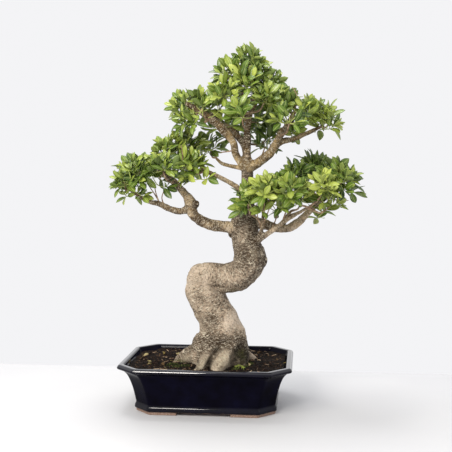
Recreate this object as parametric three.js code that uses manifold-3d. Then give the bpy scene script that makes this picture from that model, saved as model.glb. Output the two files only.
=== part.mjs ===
// Chinese banyan (Ficus microcarpa) grown as a bonsai, in a glazed pot with cut corners.
// Sizes are in millimetres. +Z is up, the front of the tree looks along -Y and +X is to
// the viewer's right. Places are given in a working frame whose origin lies on the ground
// under the middle of the pot. The last lines move the whole, so that the origin of the
// finished object lies on the ground under the middle of its outline.

import * as THREE from "three";
import { mergeVertices } from "three/addons/utils/BufferGeometryUtils.js";
import Module from "manifold-3d";

const wasm = await Module();
wasm.setup();

// Driving dimensions of the pot
const potLength = 400;
const potWidth = 290;
const potHeight = 112;
const potChamfer = 44;
const potChamferSlim = 0.16;
const cornerEase = 3;
const footHeight = 7;
const footInset = 38;
const footBand = 15;
const footGapFront = 124;
const footGapSide = 80;
const potFloorZ = 16;
const drainHoleDiameter = 24;
const drainHoleX = 90;
const screenSize = 50;
const screenThickness = 2;

// Driving dimensions of the planting
const seatGap = 0.3;
const soilEdgeZ = 102;
const soilRise = 8;
const soilRiseReach = 95;
const soilClod = 2.4;
const soilSeed = 900;

// Driving dimensions of the foliage
const twigLength = 24;
const twigRadius = 1.7;
const coreRadius = 14;
const coreFlatness = 0.75;
const leavesPerSpray = 9;
const leafLength = 38;
const leafHalfWidth = 8.2;
const leafKeel = 1.2;
const leafDroop = 0.16;
const leafRootShare = 0.62;
const leafClearance = 0.45;
const leafTries = 14;
const goldenAngle = THREE.MathUtils.degToRad(137.5);

const up = new THREE.Vector3(0, 0, 1);

// Seeded draw between 0 and 1: the same number always gives the same result.
function draw(number) {
  const wave = Math.sin(number * 12.9898 + 78.233) * 43758.5453;
  return wave - Math.floor(wave);
}

function mix(low, high, share) {
  return low + (high - low) * share;
}

function vector(values) {
  return new THREE.Vector3(values[0], values[1], values[2]);
}

// Closed surface over a row of rings. Each ring runs anticlockwise seen from the last ring.
// An end closes flat, or in a point where a tip is given.
function loft(rings, startTip = null, endTip = null) {
  const sides = rings[0].length;
  const points = rings.flat();
  const faces = [];
  for (let ring = 0; ring + 1 < rings.length; ring++) {
    for (let side = 0; side < sides; side++) {
      const a = ring * sides + side;
      const b = ring * sides + (side + 1) % sides;
      faces.push(a, b, b + sides, a, b + sides, a + sides);
    }
  }
  const last = (rings.length - 1) * sides;
  if (startTip) {
    points.push(startTip);
    for (let side = 0; side < sides; side++) {
      faces.push(points.length - 1, (side + 1) % sides, side);
    }
  } else {
    for (let side = 1; side + 1 < sides; side++) faces.push(0, side + 1, side);
  }
  if (endTip) {
    points.push(endTip);
    for (let side = 0; side < sides; side++) {
      faces.push(points.length - 1, last + side, last + (side + 1) % sides);
    }
  } else {
    for (let side = 1; side + 1 < sides; side++) faces.push(last, last + side, last + side + 1);
  }
  const geometry = new THREE.BufferGeometry().setFromPoints(points);
  geometry.setIndex(faces);
  return geometry;
}

// Solid of a closed geometry, ready to be joined or cut.
function solidOf(geometry) {
  const bare = geometry.clone();
  bare.deleteAttribute("normal");
  bare.deleteAttribute("uv");
  const merged = mergeVertices(bare, 1e-4);
  return new wasm.Manifold(new wasm.Mesh({
    numProp: 3,
    vertProperties: new Float32Array(merged.attributes.position.array),
    triVerts: new Uint32Array(merged.index.array),
  }));
}

function join(solids) {
  return solids.reduce((whole, solid) => whole.add(solid));
}

function boxSolid(width, depth, height, x, y, z) {
  return solidOf(new THREE.BoxGeometry(width, depth, height).translate(x, y, z));
}

// Named mesh of a solid, with its finish.
function meshOf(name, solid, finish) {
  const { vertProperties, triVerts } = solid.getMesh();
  const geometry = new THREE.BufferGeometry();
  geometry.setAttribute("position", new THREE.BufferAttribute(vertProperties, 3));
  geometry.setIndex(new THREE.BufferAttribute(triVerts, 1));
  geometry.computeVertexNormals();
  const mesh = new THREE.Mesh(geometry, new THREE.MeshStandardMaterial(finish));
  mesh.name = name;
  return mesh;
}

// Finishes
const darkBlueGlaze = { color: 0x12152b, roughness: 0.12, metalness: 0 };
const darkSoil = { color: 0x33251c, roughness: 0.95, metalness: 0 };
const greyBark = { color: 0x9c9180, roughness: 0.85, metalness: 0 };
const greenLeaf = { color: 0x4f7d2a, roughness: 0.4, metalness: 0 };
const blackMesh = { color: 0x1c1c1c, roughness: 0.7, metalness: 0 };

// Pot

// The pot's outline, moved inwards by an inset and laid at a height. It is a rectangle
// with cut corners, which slim a little as the inset grows, and each of its eight corners
// is eased by two points.
function potRing(inset, z) {
  const a = potLength / 2 - inset;
  const b = potWidth / 2 - inset;
  const c = potChamfer - potChamferSlim * inset;
  const corners = [
    [a, c - b], [a, b - c], [a - c, b], [c - a, b],
    [-a, b - c], [-a, c - b], [c - a, -b], [a - c, -b],
  ].map(([x, y]) => new THREE.Vector3(x, y, z));
  return corners.flatMap((corner, index) => {
    const before = corners[(index + 7) % 8];
    const after = corners[(index + 1) % 8];
    return [before, after].map((other) => {
      const step = other.clone().sub(corner).setLength(cornerEase);
      return step.add(corner);
    });
  });
}

// Outer wall as [inset, height]: the base band, the hollow sides and the rolled rim.
const potOuterProfile = [
  [35.5, footHeight], [35, 15], [37, 20], [35, 35], [31.5, 52], [26, 71], [19, 87.5], [10, 98.5],
  [0.8, 105], [0, 107], [0.5, 110.5], [4, potHeight],
];

// Inner wall as [inset, height], from the floor up to the rim's inner edge.
const soilEdgeInset = 18;
const potInnerProfile = [
  [46, potFloorZ], [40, 50], [33, 73], [25.5, 90], [soilEdgeInset, soilEdgeZ], [14, potHeight],
];

// The pot: a solid of the outer wall, hollowed by the inner wall carried on above the rim,
// on four corner feet that are left of a ring cut through at the middle of each side.
function potSolid() {
  const overlap = 1;
  const outer = solidOf(loft(potOuterProfile.map(([inset, z]) => potRing(inset, z))));
  const mouth = [13.6, potHeight + overlap];
  const inner = solidOf(loft([...potInnerProfile, mouth].map(([inset, z]) => potRing(inset, z))));
  const footRing = (inset) => loft([potRing(inset, 0), potRing(inset, footHeight + overlap)]);
  const footInside = footInset + footBand;
  const footCore = loft([potRing(footInside, -overlap), potRing(footInside, footHeight)]);
  const feet = solidOf(footRing(footInset))
    .subtract(solidOf(footCore))
    .subtract(boxSolid(footGapFront, potWidth, 2 * footHeight, 0, 0, 0))
    .subtract(boxSolid(potLength, footGapSide, 2 * footHeight, 0, 0, 0));
  const drainRadius = drainHoleDiameter / 2;
  const drainHoles = [-drainHoleX, drainHoleX].map((x) => {
    const bore = new THREE.CylinderGeometry(drainRadius, drainRadius, 2 * potFloorZ, 12);
    return solidOf(bore.rotateX(Math.PI / 2).translate(x, 0, potFloorZ));
  });
  return outer.add(feet).subtract(inner).subtract(join(drainHoles));
}

// Drainage screens: a square of coarse plastic netting over each drain hole, made of bars
// that cross at right angles.
const screenZ = potFloorZ + seatGap;
const screenBars = 3;
const screenBarWidth = 5;

function screenSolid(x) {
  const z = screenZ + screenThickness / 2;
  const pitch = (screenSize - screenBarWidth) / (screenBars - 1);
  const bars = [];
  for (let bar = 0; bar < screenBars; bar++) {
    const offset = (bar - (screenBars - 1) / 2) * pitch;
    bars.push(boxSolid(screenSize, screenBarWidth, screenThickness, x, offset, z));
    bars.push(boxSolid(screenBarWidth, screenSize, screenThickness, x + offset, 0, z));
  }
  return join(bars);
}

// Routes of the wood

// Each route is a row of stations [x, y, z, radius] along the middle of one root, stretch
// of trunk or limb. The trunk leans right out of its roots, swings left into a rounded
// elbow, crosses to the right as a level knee and then climbs straight up.
const trunkRoutes = {
  foot: [
    [20, -6, 74, 58], [23, -7, 94, 67], [26, -7, 114, 70], [30, -6, 146, 67], [32, -4, 178, 56],
    [21, -2, 211, 46], [5, 0, 237, 43], [-8, 4, 265, 46], [-10, 6, 289, 42], [-13, 5, 308, 39],
    [-15, 4, 322, 29], [-13, 4, 331, 10],
  ],
  knee: [
    [-16, 3, 298, 24], [-4, 0, 301, 33], [12, -2, 303, 36], [40, -8, 303, 35], [70, -12, 309, 35],
    [91, -14, 327, 35], [99, -12, 350, 38], [95, -6, 374, 34], [88, -1, 400, 32], [85, 3, 428, 30],
    [86, 5, 456, 26], [88, 6, 487, 18], [90, 5, 517, 14], [91, 4, 546, 14], [89, 3, 574, 14],
  ],
};

// Roots spread from the trunk's foot, show as low lobes and dive into the soil.
const rootRoutes = {
  left: [[0, -12, 136, 32], [-30, -17, 121, 26], [-57, -21, 106, 19], [-82, -25, 86, 8]],
  leftBack: [[0, 18, 130, 26], [-40, 36, 112, 15], [-74, 50, 101, 9], [-98, 58, 87, 4]],
  frontLeft: [[18, -34, 132, 24], [9, -62, 121, 17], [-1, -81, 110, 14], [-12, -95, 92, 6]],
  frontMiddle: [[42, -30, 138, 30], [46, -54, 128, 26], [38, -73, 116, 22], [22, -92, 92, 9]],
  frontRight: [[56, -18, 132, 25], [74, -34, 115, 18], [86, -46, 101, 11], [96, -56, 85, 5]],
  right: [[46, 0, 132, 28], [76, 16, 116, 19], [100, 33, 102, 11], [120, 47, 87, 5]],
  back: [[20, 30, 132, 27], [14, 60, 114, 18], [8, 81, 100, 12], [3, 96, 84, 5]],
};

// Limbs, from the lowest to the leader, with the side limbs that grow on each.
const limbRoutes = {
  lowLeft: [
    [75, 0, 416, 15], [42, -4, 424, 13], [16, -9, 427, 12.5], [-8, -12, 434, 13], [-30, -14, 448, 12.5],
    [-40, -14, 466, 12.5], [-42, -12, 482, 13.5], [-52, -8, 499, 10], [-77, 3, 523, 9],
    [-108, 7, 551, 6.5], [-142, 2, 574, 4],
  ],
  lowLeftReach: [
    [-44, -14, 466, 9.5], [-65, -18, 461, 8], [-86, -20, 465, 7.5], [-112, -22, 477, 6.5],
    [-145, -25, 487, 5], [-182, -28, 511, 3.5],
  ],
  midLeft: [
    [82, 0, 506, 7], [56, -8, 525, 5.8], [24, -13, 542, 5.2], [-4, -16, 555, 4.7], [-16, -18, 568, 4.5],
    [-29, -20, 587, 3.5],
  ],
  thinLeft: [[79, 8, 562, 6], [54, 16, 566, 4.5], [29, 25, 574, 4], [15, 30, 586, 3.4]],
  highLeft: [
    [89, 0, 562, 12], [74, -2, 577, 9.5], [64, -6, 598, 9], [59, -8, 623, 8.8], [38, -12, 648, 9.5],
    [8, -16, 676, 8.5], [-20, -19, 695, 7.2], [-52, -20, 713, 4.7],
  ],
  highLeftBack: [
    [91, 2, 585, 9.5], [82, 11, 616, 8.3], [65, 20, 640, 8.3], [40, 29, 660, 7.6], [7, 38, 687, 5.4],
    [-11, 44, 698, 4],
  ],
  leader: [
    [91, 0, 568, 14], [91, -3, 610, 9.5], [92, -10, 648, 7.6], [97, -9, 682, 6.8], [112, -1, 718, 6],
    [118, 4, 750, 5.3], [112, 4, 768, 4.6], [105, 1, 780, 3.5],
  ],
  leaderFront: [[94, -10, 664, 6], [83, -20, 684, 5], [62, -38, 704, 3.5]],
  highRight: [
    [96, 0, 560, 13], [122, -5, 579, 11], [151, -10, 603, 9.4], [166, -14, 632, 7.8],
    [187, -18, 664, 6.5], [203, -22, 692, 4],
  ],
  highRightReach: [
    [159, -10, 610, 7], [173, -4, 623, 7], [197, 1, 631, 6.2], [223, 2, 643, 5.5], [262, -3, 663, 3.8],
  ],
  lowRight: [
    [112, 8, 435, 14], [140, 12, 428, 11.5], [166, 12, 420, 10], [192, 5, 422, 9.4], [214, -4, 438, 8.8],
    [236, -9, 459, 7], [268, -12, 488, 5.3], [306, -8, 515, 3.5],
  ],
  lowRightFront: [
    [118, -22, 392, 8], [133, -34, 405, 6.5], [160, -42, 424, 5.6], [193, -46, 449, 5.2],
    [232, -50, 470, 3.7],
  ],
  lowRightBack: [[171, 12, 421, 7], [182, 30, 444, 5.4], [192, 42, 458, 4.5]],
  frontTwig: [[121, -24, 400, 7], [129, -42, 428, 4.6], [134, -56, 479, 3.4]],
  frontSideTwig: [[128, -44, 433, 3.4], [118, -54, 446, 3], [106, -60, 455, 2.7]],
};

// Healed cuts and knobs, each a short stump [x, y, z, radius] from its root to its face.
const stumpRoutes = [
  [[100, -12, 342, 18], [132, -16, 344, 16], [138, -17, 344, 12]],
  [[84, -10, 396, 12], [82, -34, 396, 10], [82, -37, 396, 6]],
  [[-30, -14, 474, 9], [-26, -24, 480, 8], [-25, -28, 482, 5]],
  [[92, 0, 588, 9], [93, -13, 591, 7], [93, -15, 591, 4]],
  [[60, 10, 408, 14], [54, 28, 413, 9], [52, 34, 415, 5]],
];

// Direction of a route at each station.
function tangents(route) {
  return route.map((station, index) => {
    const before = vector(route[Math.max(index - 1, 0)]);
    const after = vector(route[Math.min(index + 1, route.length - 1)]);
    return after.sub(before).normalize();
  });
}

// Tapering round wood along a route. Its rings turn as little as they can from station to
// station, and lumps swell and hollow each ring into flutes. Extra thickens every station,
// and facing is the way that the last ring looks, where it isn't the way of the route.
function wood(route, sides, { lumps = 0, extra = 0, pointed = false, facing = null } = {}) {
  const directions = tangents(route);
  if (facing) directions[route.length - 1] = facing;
  let side = new THREE.Vector3(0, 1, 0);
  if (Math.abs(directions[0].y) > 0.8) side = new THREE.Vector3(1, 0, 0);
  const rings = route.map((station, index) => {
    const along = directions[index];
    side = side.clone().addScaledVector(along, -side.dot(along)).normalize();
    const across = along.clone().cross(side);
    const ring = [];
    for (let corner = 0; corner < sides; corner++) {
      const turn = (corner / sides) * 2 * Math.PI;
      const flute = Math.sin(3 * turn + index * 0.5) + 0.6 * Math.sin(5 * turn - index * 0.7);
      const reach = station[3] * (1 + lumps * flute) + extra;
      ring.push(vector(station)
        .addScaledVector(side, Math.cos(turn) * reach)
        .addScaledVector(across, Math.sin(turn) * reach));
    }
    return ring;
  });
  const lastStation = route[route.length - 1];
  const tip = vector(lastStation).addScaledVector(directions[route.length - 1], lastStation[3]);
  return solidOf(loft(rings, null, pointed ? tip : null));
}

const trunkSides = 11;
const rootSides = 7;
const limbSides = 6;
const twigSides = 3;

function groundWood(extra) {
  return [
    wood(trunkRoutes.foot, trunkSides, { lumps: 0.03, extra }),
    ...Object.values(rootRoutes).map((route) => wood(route, rootSides, { lumps: 0.04, extra })),
  ];
}

const woodSolids = [
  ...groundWood(0),
  wood(trunkRoutes.knee, trunkSides, { lumps: 0.03 }),
  ...Object.values(limbRoutes).map((route) => wood(route, limbSides, { lumps: 0.04, pointed: true })),
  ...stumpRoutes.map((route) => wood(route, limbSides)),
];

// Soil

// The soil fills the pot to just under the rim, rises to the roots, lies round the
// netting squares and has plain holes where trunk and roots stand in it.
function soilSolid() {
  const wall = potInnerProfile
    .filter(([, z]) => z <= soilEdgeZ)
    .map(([inset, z]) => potRing(inset + seatGap, Math.max(z, potFloorZ + seatGap)));
  const edge = wall[wall.length - 1];
  const shares = [0.84, 0.64, 0.44];
  const mound = shares.map((share, ringIndex) => edge.map((point, index) => {
    const x = point.x * share;
    const y = point.y * share;
    const rise = soilRise * Math.exp(-(x * x + y * y) / (soilRiseReach * soilRiseReach));
    const clod = soilClod * (draw(soilSeed + ringIndex * edge.length + index) - 0.5);
    return new THREE.Vector3(x, y, soilEdgeZ + rise + clod);
  }));
  const top = new THREE.Vector3(0, 0, soilEdgeZ + soilRise);
  const fill = solidOf(loft([...wall, ...mound], null, top));
  const pocketWidth = screenSize + 2 * seatGap;
  const pocketHeight = 2 * (screenThickness + 2 * seatGap);
  const pockets = [-drainHoleX, drainHoleX].map((x) =>
    boxSolid(pocketWidth, pocketWidth, pocketHeight, x, 0, potFloorZ));
  return fill.subtract(join(groundWood(seatGap))).subtract(join(pockets));
}

// Sprays

// Middle of every leafy spray, by pad.
const sprayPlaces = {
  left: [
    [-192, 12, 554], [-196, -54, 526], [-148, -62, 553], [-138, 62, 553], [-96, -5, 610],
    [-92, -80, 556], [-74, 84, 574], [-38, -44, 569], [-42, 12, 606], [-4, 66, 610],
  ],
  crown: [
    [92, -6, 811], [52, -18, 780], [131, -4, 778], [96, -54, 755], [80, 60, 753], [148, 0, 746],
    [46, -70, 722], [138, -76, 716], [145, 76, 720], [166, -22, 708], [-57, -14, 691],
    [-30, -58, 671], [-6, -46, 698], [-32, 84, 710], [88, -94, 678], [186, -84, 663],
    [230, -34, 686], [250, 62, 680], [281, -12, 679], [134, 96, 648],
  ],
  right: [
    [98, -62, 480], [140, -94, 516], [166, -14, 516], [196, -98, 504], [212, 4, 550],
    [252, 68, 550], [266, -76, 516], [296, 0, 542], [310, -44, 516], [331, 16, 528],
    [286, -46, 480], [222, 98, 498],
  ],
};

// Every limb station that can carry a twig, with the limb's direction there.
const twigSeats = Object.values(limbRoutes).flatMap((route) => {
  const directions = tangents(route);
  return route.slice(1).map((station, index) => ({
    point: vector(station), along: directions[index + 1], radius: station[3],
  }));
});

// A twig to a spray leaves the nearest station, and sooner one that lies below the spray.
function seatFor(middle) {
  const cost = (seat) => seat.point.distanceTo(middle) + Math.max(0, seat.point.z + 20 - middle.z);
  return twigSeats.reduce((best, seat) => (cost(seat) < cost(best) ? seat : best));
}

// Plan of one spray: where its twig leaves the limb, where the wood ends and the green
// twig begins, and which way it points.
function spraysOf(pad, firstSeed) {
  return sprayPlaces[pad].map((place, index) => {
    const middle = vector(place);
    const seat = seatFor(middle);
    const rising = middle.clone().sub(seat.point).normalize().multiplyScalar(0.7);
    const along = rising.addScaledVector(up, 0.5).normalize();
    const start = middle.clone().addScaledVector(along, -twigLength);
    const number = String(index + 1).padStart(2, "0");
    return { name: `spray_${pad}_${number}`, seed: firstSeed + index * 100, middle, seat, along, start };
  });
}

const sprays = [
  ...spraysOf("left", 10000),
  ...spraysOf("crown", 20000),
  ...spraysOf("right", 30000),
];

// Woody twig from a limb to the foot of a spray, along a curve that leaves the limb
// forwards and meets the spray from below.
function woodyTwig({ seat, start, along }) {
  const span = seat.point.distanceTo(start);
  const curve = new THREE.CubicBezierCurve3(
    seat.point,
    seat.point.clone().addScaledVector(seat.along, span * 0.15),
    start.clone().addScaledVector(along, -span * 0.3),
    start,
  );
  const rootRadius = Math.min(seat.radius * 0.75, 3.8);
  const shares = span > 60 ? [0, 0.35, 0.7, 1] : [0, 0.5, 1];
  const route = shares.map((share) => {
    const point = curve.getPoint(share);
    return [point.x, point.y, point.z, mix(rootRadius, twigRadius + 0.3, share)];
  });
  return wood(route, twigSides, { facing: along });
}

const twigSolids = sprays.map(woodyTwig);

// Everything that leaves have to keep clear of, as { owner, solid, box }.
const taken = [];

function take(owner, solid) {
  taken.push({ owner, solid, box: solid.boundingBox() });
}

woodSolids.forEach((solid) => take("trunk", solid));
twigSolids.forEach((solid) => take("trunk", solid));
take("pot", potSolid());

function boxesMeet(one, other) {
  return [0, 1, 2].every((axis) => one.min[axis] < other.max[axis] && other.min[axis] < one.max[axis]);
}

function crosses(owner, solid) {
  const box = solid.boundingBox();
  return taken.some((item) =>
    item.owner !== owner && boxesMeet(box, item.box) && !item.solid.intersect(solid).isEmpty());
}

// One leaf, root first: an oval blade with a pointed tip, flat above and keeled below,
// that bends down along its length. Its stations are [share of length, share of half
// width, share of keel]. Spare thickens it, for testing what it would touch.
const leafStations = [[0.26, 0.5, 1], [0.66, 1, 0.9]];

function leafSolid({ root, along, face, length, halfWidth }, spare = 0) {
  const across = face.clone().cross(along);
  const centre = (share) => root.clone()
    .addScaledVector(along, length * share)
    .addScaledVector(face, spare - length * leafDroop * share * share);
  const rings = leafStations.map(([share, wide, deep]) => {
    const reach = halfWidth * wide + spare;
    return [
      centre(share).addScaledVector(across, reach),
      centre(share).addScaledVector(across, -reach),
      centre(share).addScaledVector(face, -leafKeel * deep - 2 * spare),
    ];
  });
  return solidOf(loft(rings, centre(0), centre(1 + spare / length)));
}

// A direction that leans away from a pole by a tilt, turned about the pole by a turn.
function leaning(pole, tilt, turn) {
  const side = Math.abs(pole.z) < 0.9 ? up.clone().cross(pole) : new THREE.Vector3(1, 0, 0).cross(pole);
  side.normalize();
  const across = pole.clone().cross(side);
  return pole.clone().multiplyScalar(Math.cos(tilt))
    .addScaledVector(side, Math.sin(tilt) * Math.cos(turn))
    .addScaledVector(across, Math.sin(tilt) * Math.sin(turn));
}

// Green twig that carries a spray, from the end of the wood into the middle of the spray.
function greenTwig({ start, along, middle }) {
  const root = start.clone().addScaledVector(along, seatGap);
  const route = [[...root.toArray(), twigRadius], [...middle.toArray(), twigRadius * 0.7]];
  return wood(route, twigSides, { pointed: true });
}

// Leaf number index of a spray. The leaves stand evenly round the spray by the golden
// angle, from its top down to below its waist, and each try turns one a little further.
function leafPlan({ seed, middle, along }, index, attempt) {
  const leafSeed = seed + 5 * index + 5;
  const height = mix(0.96, -0.45, (index + 0.5) / leavesPerSpray);
  const turn = index * goldenAngle + draw(seed) * 2 * Math.PI;
  const outward = leaning(along, Math.acos(height), turn);
  const lean = mix(0.75, 1.15, draw(leafSeed));
  const direction = leaning(outward, lean, draw(leafSeed + 1) * 6 + attempt * 0.7);
  const facing = outward.clone().addScaledVector(up, 0.4);
  const face = facing.addScaledVector(direction, -facing.dot(direction)).normalize();
  const rootReach = outward.clone().multiplyScalar(coreRadius * leafRootShare);
  rootReach.z *= coreFlatness;
  return {
    root: middle.clone().add(rootReach),
    along: direction,
    face,
    length: leafLength * mix(0.84, 1.08, draw(leafSeed + 2)),
    halfWidth: leafHalfWidth * mix(0.85, 1.05, draw(leafSeed + 3)),
  };
}

// A leaf without its root, which should not cut through its neighbours on the spray.
function outerBlade(plan) {
  const rootShare = 0.12;
  return leafSolid({
    ...plan,
    root: plan.root.clone().addScaledVector(plan.along, plan.length * rootShare),
    length: plan.length * (1 - rootShare),
  });
}

// First plan, of a number of tries, that fits.
function firstThat(fits, planOf) {
  for (let attempt = 0; attempt < leafTries; attempt++) {
    const plan = planOf(attempt);
    if (fits(plan)) return plan;
  }
  return null;
}

// The tight bunch of shoots and buds in the middle of a spray.
function bunchSolid({ seed, middle }) {
  const bunch = new THREE.IcosahedronGeometry(coreRadius, 0)
    .scale(1, 1, coreFlatness)
    .rotateZ(draw(seed) * Math.PI)
    .translate(...middle.toArray());
  return solidOf(bunch);
}

// Twigs and bunches all come before the first leaf, so that every leaf keeps clear of them.
const sprayStems = sprays.map((spray) => {
  const stem = [greenTwig(spray), bunchSolid(spray)];
  stem.forEach((solid) => {
    if (crosses(spray.name, solid)) throw new Error(`${spray.name} starts inside another piece`);
  });
  stem.forEach((solid) => take(spray.name, solid));
  return stem;
});

// One leafy spray, grown together of its stem and the leaves that stand out of it. A leaf
// that would reach another piece is turned aside, or left off.
function spraySolid(spray, sprayIndex) {
  const parts = [...sprayStems[sprayIndex]];
  const blades = [];
  for (let index = 0; index < leavesPerSpray; index++) {
    const clear = (plan) => !crosses(spray.name, leafSolid(plan, leafClearance))
      && blades.every((blade) => blade.intersect(outerBlade(plan)).isEmpty());
    const leaf = firstThat(clear, (attempt) => leafPlan(spray, index, attempt));
    if (!leaf) continue;
    parts.push(leafSolid(leaf));
    blades.push(outerBlade(leaf));
    take(spray.name, leafSolid(leaf));
  }
  return join(parts);
}

// Assembly
const bonsai = new THREE.Group();
bonsai.name = "banyan_bonsai";
bonsai.add(meshOf("pot", potSolid(), darkBlueGlaze));
bonsai.add(meshOf("drain_screen_left", screenSolid(-drainHoleX), blackMesh));
bonsai.add(meshOf("drain_screen_right", screenSolid(drainHoleX), blackMesh));
bonsai.add(meshOf("soil", soilSolid(), darkSoil));
bonsai.add(meshOf("trunk", join([...woodSolids, ...twigSolids]), greyBark));
sprays.forEach((spray, index) => {
  bonsai.add(meshOf(spray.name, spraySolid(spray, index), greenLeaf));
});

// The finished origin lies on the ground under the middle of the outline.
const outline = new THREE.Box3().setFromObject(bonsai);
const centre = outline.getCenter(new THREE.Vector3());
bonsai.position.set(-centre.x, -centre.y, -outline.min.z);

export default bonsai;
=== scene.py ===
# %% [markdown]
# # A Chinese banyan grown as a bonsai, in its glazed pot
#
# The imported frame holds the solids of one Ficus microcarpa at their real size: a pot, two
# squares of netting over its drain holes, its soil, the wood as one grown body and
# forty-two leafy sprays. This script gives each of them the surface of the real thing.
# Lengths below are millimetres in the tree's working frame, whose origin lies on the
# ground under the middle of the pot.

from functools import partial

import bpy
import numpy as np
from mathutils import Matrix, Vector


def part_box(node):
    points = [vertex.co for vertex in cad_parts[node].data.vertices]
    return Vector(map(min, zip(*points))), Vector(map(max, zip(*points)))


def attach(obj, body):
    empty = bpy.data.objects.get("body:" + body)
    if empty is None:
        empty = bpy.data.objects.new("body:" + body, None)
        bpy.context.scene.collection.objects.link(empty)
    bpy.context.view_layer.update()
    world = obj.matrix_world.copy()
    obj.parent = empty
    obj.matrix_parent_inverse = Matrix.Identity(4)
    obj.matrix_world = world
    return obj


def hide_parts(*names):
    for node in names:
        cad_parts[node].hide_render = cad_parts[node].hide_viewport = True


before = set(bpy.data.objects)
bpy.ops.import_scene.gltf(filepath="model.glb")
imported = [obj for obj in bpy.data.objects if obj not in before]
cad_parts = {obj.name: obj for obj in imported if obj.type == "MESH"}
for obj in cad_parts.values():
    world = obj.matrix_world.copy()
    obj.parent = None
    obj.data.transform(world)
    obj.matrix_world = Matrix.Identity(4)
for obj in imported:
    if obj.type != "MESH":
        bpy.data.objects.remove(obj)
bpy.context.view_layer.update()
pot_low, pot_high = (np.array(corner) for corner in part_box("pot"))
pot_middle = np.append((pot_low + pot_high)[:2] / 2, 0.0)

# %% [markdown]
# ## Helpers for places, colours and seeded chance
#
# A place in millimetres becomes metres in the frame by one function. Colours are written
# as sRGB hex, as they look on a screen, and Blender mixes light in linear numbers, so one
# more function converts them. Chance always comes from a seed, so each run is the same.

# %% Places and colours
MM = 0.001
UP = np.array([0.0, 0.0, 1.0])


def placed(points_mm):
    """Working-frame millimetres as frame metres: p / 1000 plus the pot's middle."""
    return np.asarray(points_mm, float) * MM + pot_middle


def unplaced(points_m):
    """Frame metres as working-frame millimetres, the reverse of placed."""
    return (np.asarray(points_m, float) - pot_middle) / MM


def linear(colour):
    """Linear RGBA of an sRGB hex colour: c/12.92 when dark, else ((c+0.055)/1.055)^2.4."""
    srgb = np.array([int(colour[start : start + 2], 16) for start in (1, 3, 5)]) / 255
    light = np.where(srgb <= 0.04045, srgb / 12.92, ((srgb + 0.055) / 1.055) ** 2.4)
    return (*light, 1.0)


def unit(vectors):
    """Vectors divided by their own lengths."""
    return vectors / np.linalg.norm(vectors, axis=-1, keepdims=True)


# %% [markdown]
# Bark, soil and glaze are all uneven in a smooth, random way. Value noise gives that: each
# corner of a lattice of cells gets a random value, and a point takes a blend of the eight
# corners round it. Worked out in numpy it can move thousands of points at once.

# %% Smooth noise
def corner_value(cells, seed):
    """A fixed value from -1 to 1 for each whole-number cell, by multiplying and mixing."""
    mixed = cells[..., 0] * 73856093 ^ cells[..., 1] * 19349663 ^ cells[..., 2] * 83492791
    mixed = (mixed ^ seed * 39916801) & 0x7FFFFFFF
    mixed = ((mixed ^ mixed >> 13) * 1274126177) & 0x7FFFFFFF
    return ((mixed ^ mixed >> 16) & 0xFFFF) / 32767.5 - 1


def noise(points, size, seed):
    """Noise from -1 to 1 in cells of a size: corner values blended by 3t^2 - 2t^3."""
    scaled = np.asarray(points) / size
    cell = np.floor(scaled).astype(np.int64)
    t = scaled - cell
    t = t * t * (3 - 2 * t)
    total = np.zeros(scaled.shape[:-1])
    for corner in np.ndindex(2, 2, 2):
        share = np.where(np.array(corner) == 1, t, 1 - t).prod(-1)
        total += share * corner_value(cell + np.array(corner), seed)
    return total


# %% [markdown]
# ## Helpers for meshes
#
# Nearly everything here is a grid: rings carried along a root or limb, rows of a leaf,
# rings of the pot's wall. One function numbers a grid's faces, one closes a tube and one
# puts several shapes together.

# %% Grids, tubes and joined shapes
def grid_faces(rows, columns, wrap=False):
    """Quads of points numbered row by row. Wrap joins the last column to the first."""
    row, column = np.meshgrid(
        np.arange(rows - 1), np.arange(columns if wrap else columns - 1), indexing="ij"
    )
    a = row * columns + column
    b = row * columns + (column + 1) % columns
    return np.stack([a, b, b + columns, a + columns], -1).reshape(-1, 4)


def closed_tube(rings):
    """A tube over rings (n, sides, 3), each end closed by a fan to the ring's middle."""
    count, sides = rings.shape[:2]
    points = np.concatenate([rings.reshape(-1, 3), rings[:1].mean(1), rings[-1:].mean(1)])
    corner = np.arange(sides)
    after = (corner + 1) % sides
    last = (count - 1) * sides
    start = np.stack([np.full(sides, count * sides), after, corner], -1)
    end = np.stack([np.full(sides, count * sides + 1), last + corner, last + after], -1)
    return points, [grid_faces(count, sides, wrap=True), start, end]


def together(shapes):
    """Several (points, face groups) as one, each shape's face numbers moved past the last."""
    starts = np.cumsum([0] + [len(points) for points, _ in shapes])
    points = np.concatenate([points for points, _ in shapes])
    groups = [group + start for (_, faces), start in zip(shapes, starts) for group in faces]
    return points, groups


# %% [markdown]
# A finished piece rides on the one body of the frame, and the solid it stands in for is
# hidden. Values at its points, such as the bark's tone and painted shade, become
# attributes that its material reads. Its object stays at the origin, with its place in
# its mesh.

# %% The Blender piece
def mesh_of(name, shape):
    """A new mesh of a shape (points, face groups)."""
    points, groups = shape
    mesh = bpy.data.meshes.new(name)
    mesh.from_pydata(points, [], [face for group in groups for face in group.tolist()])
    return mesh


def new_object(name, data):
    """An object of a mesh, lamp or camera, linked to the scene."""
    thing = bpy.data.objects.new(name, data)
    bpy.context.scene.collection.objects.link(thing)
    return thing


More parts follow.
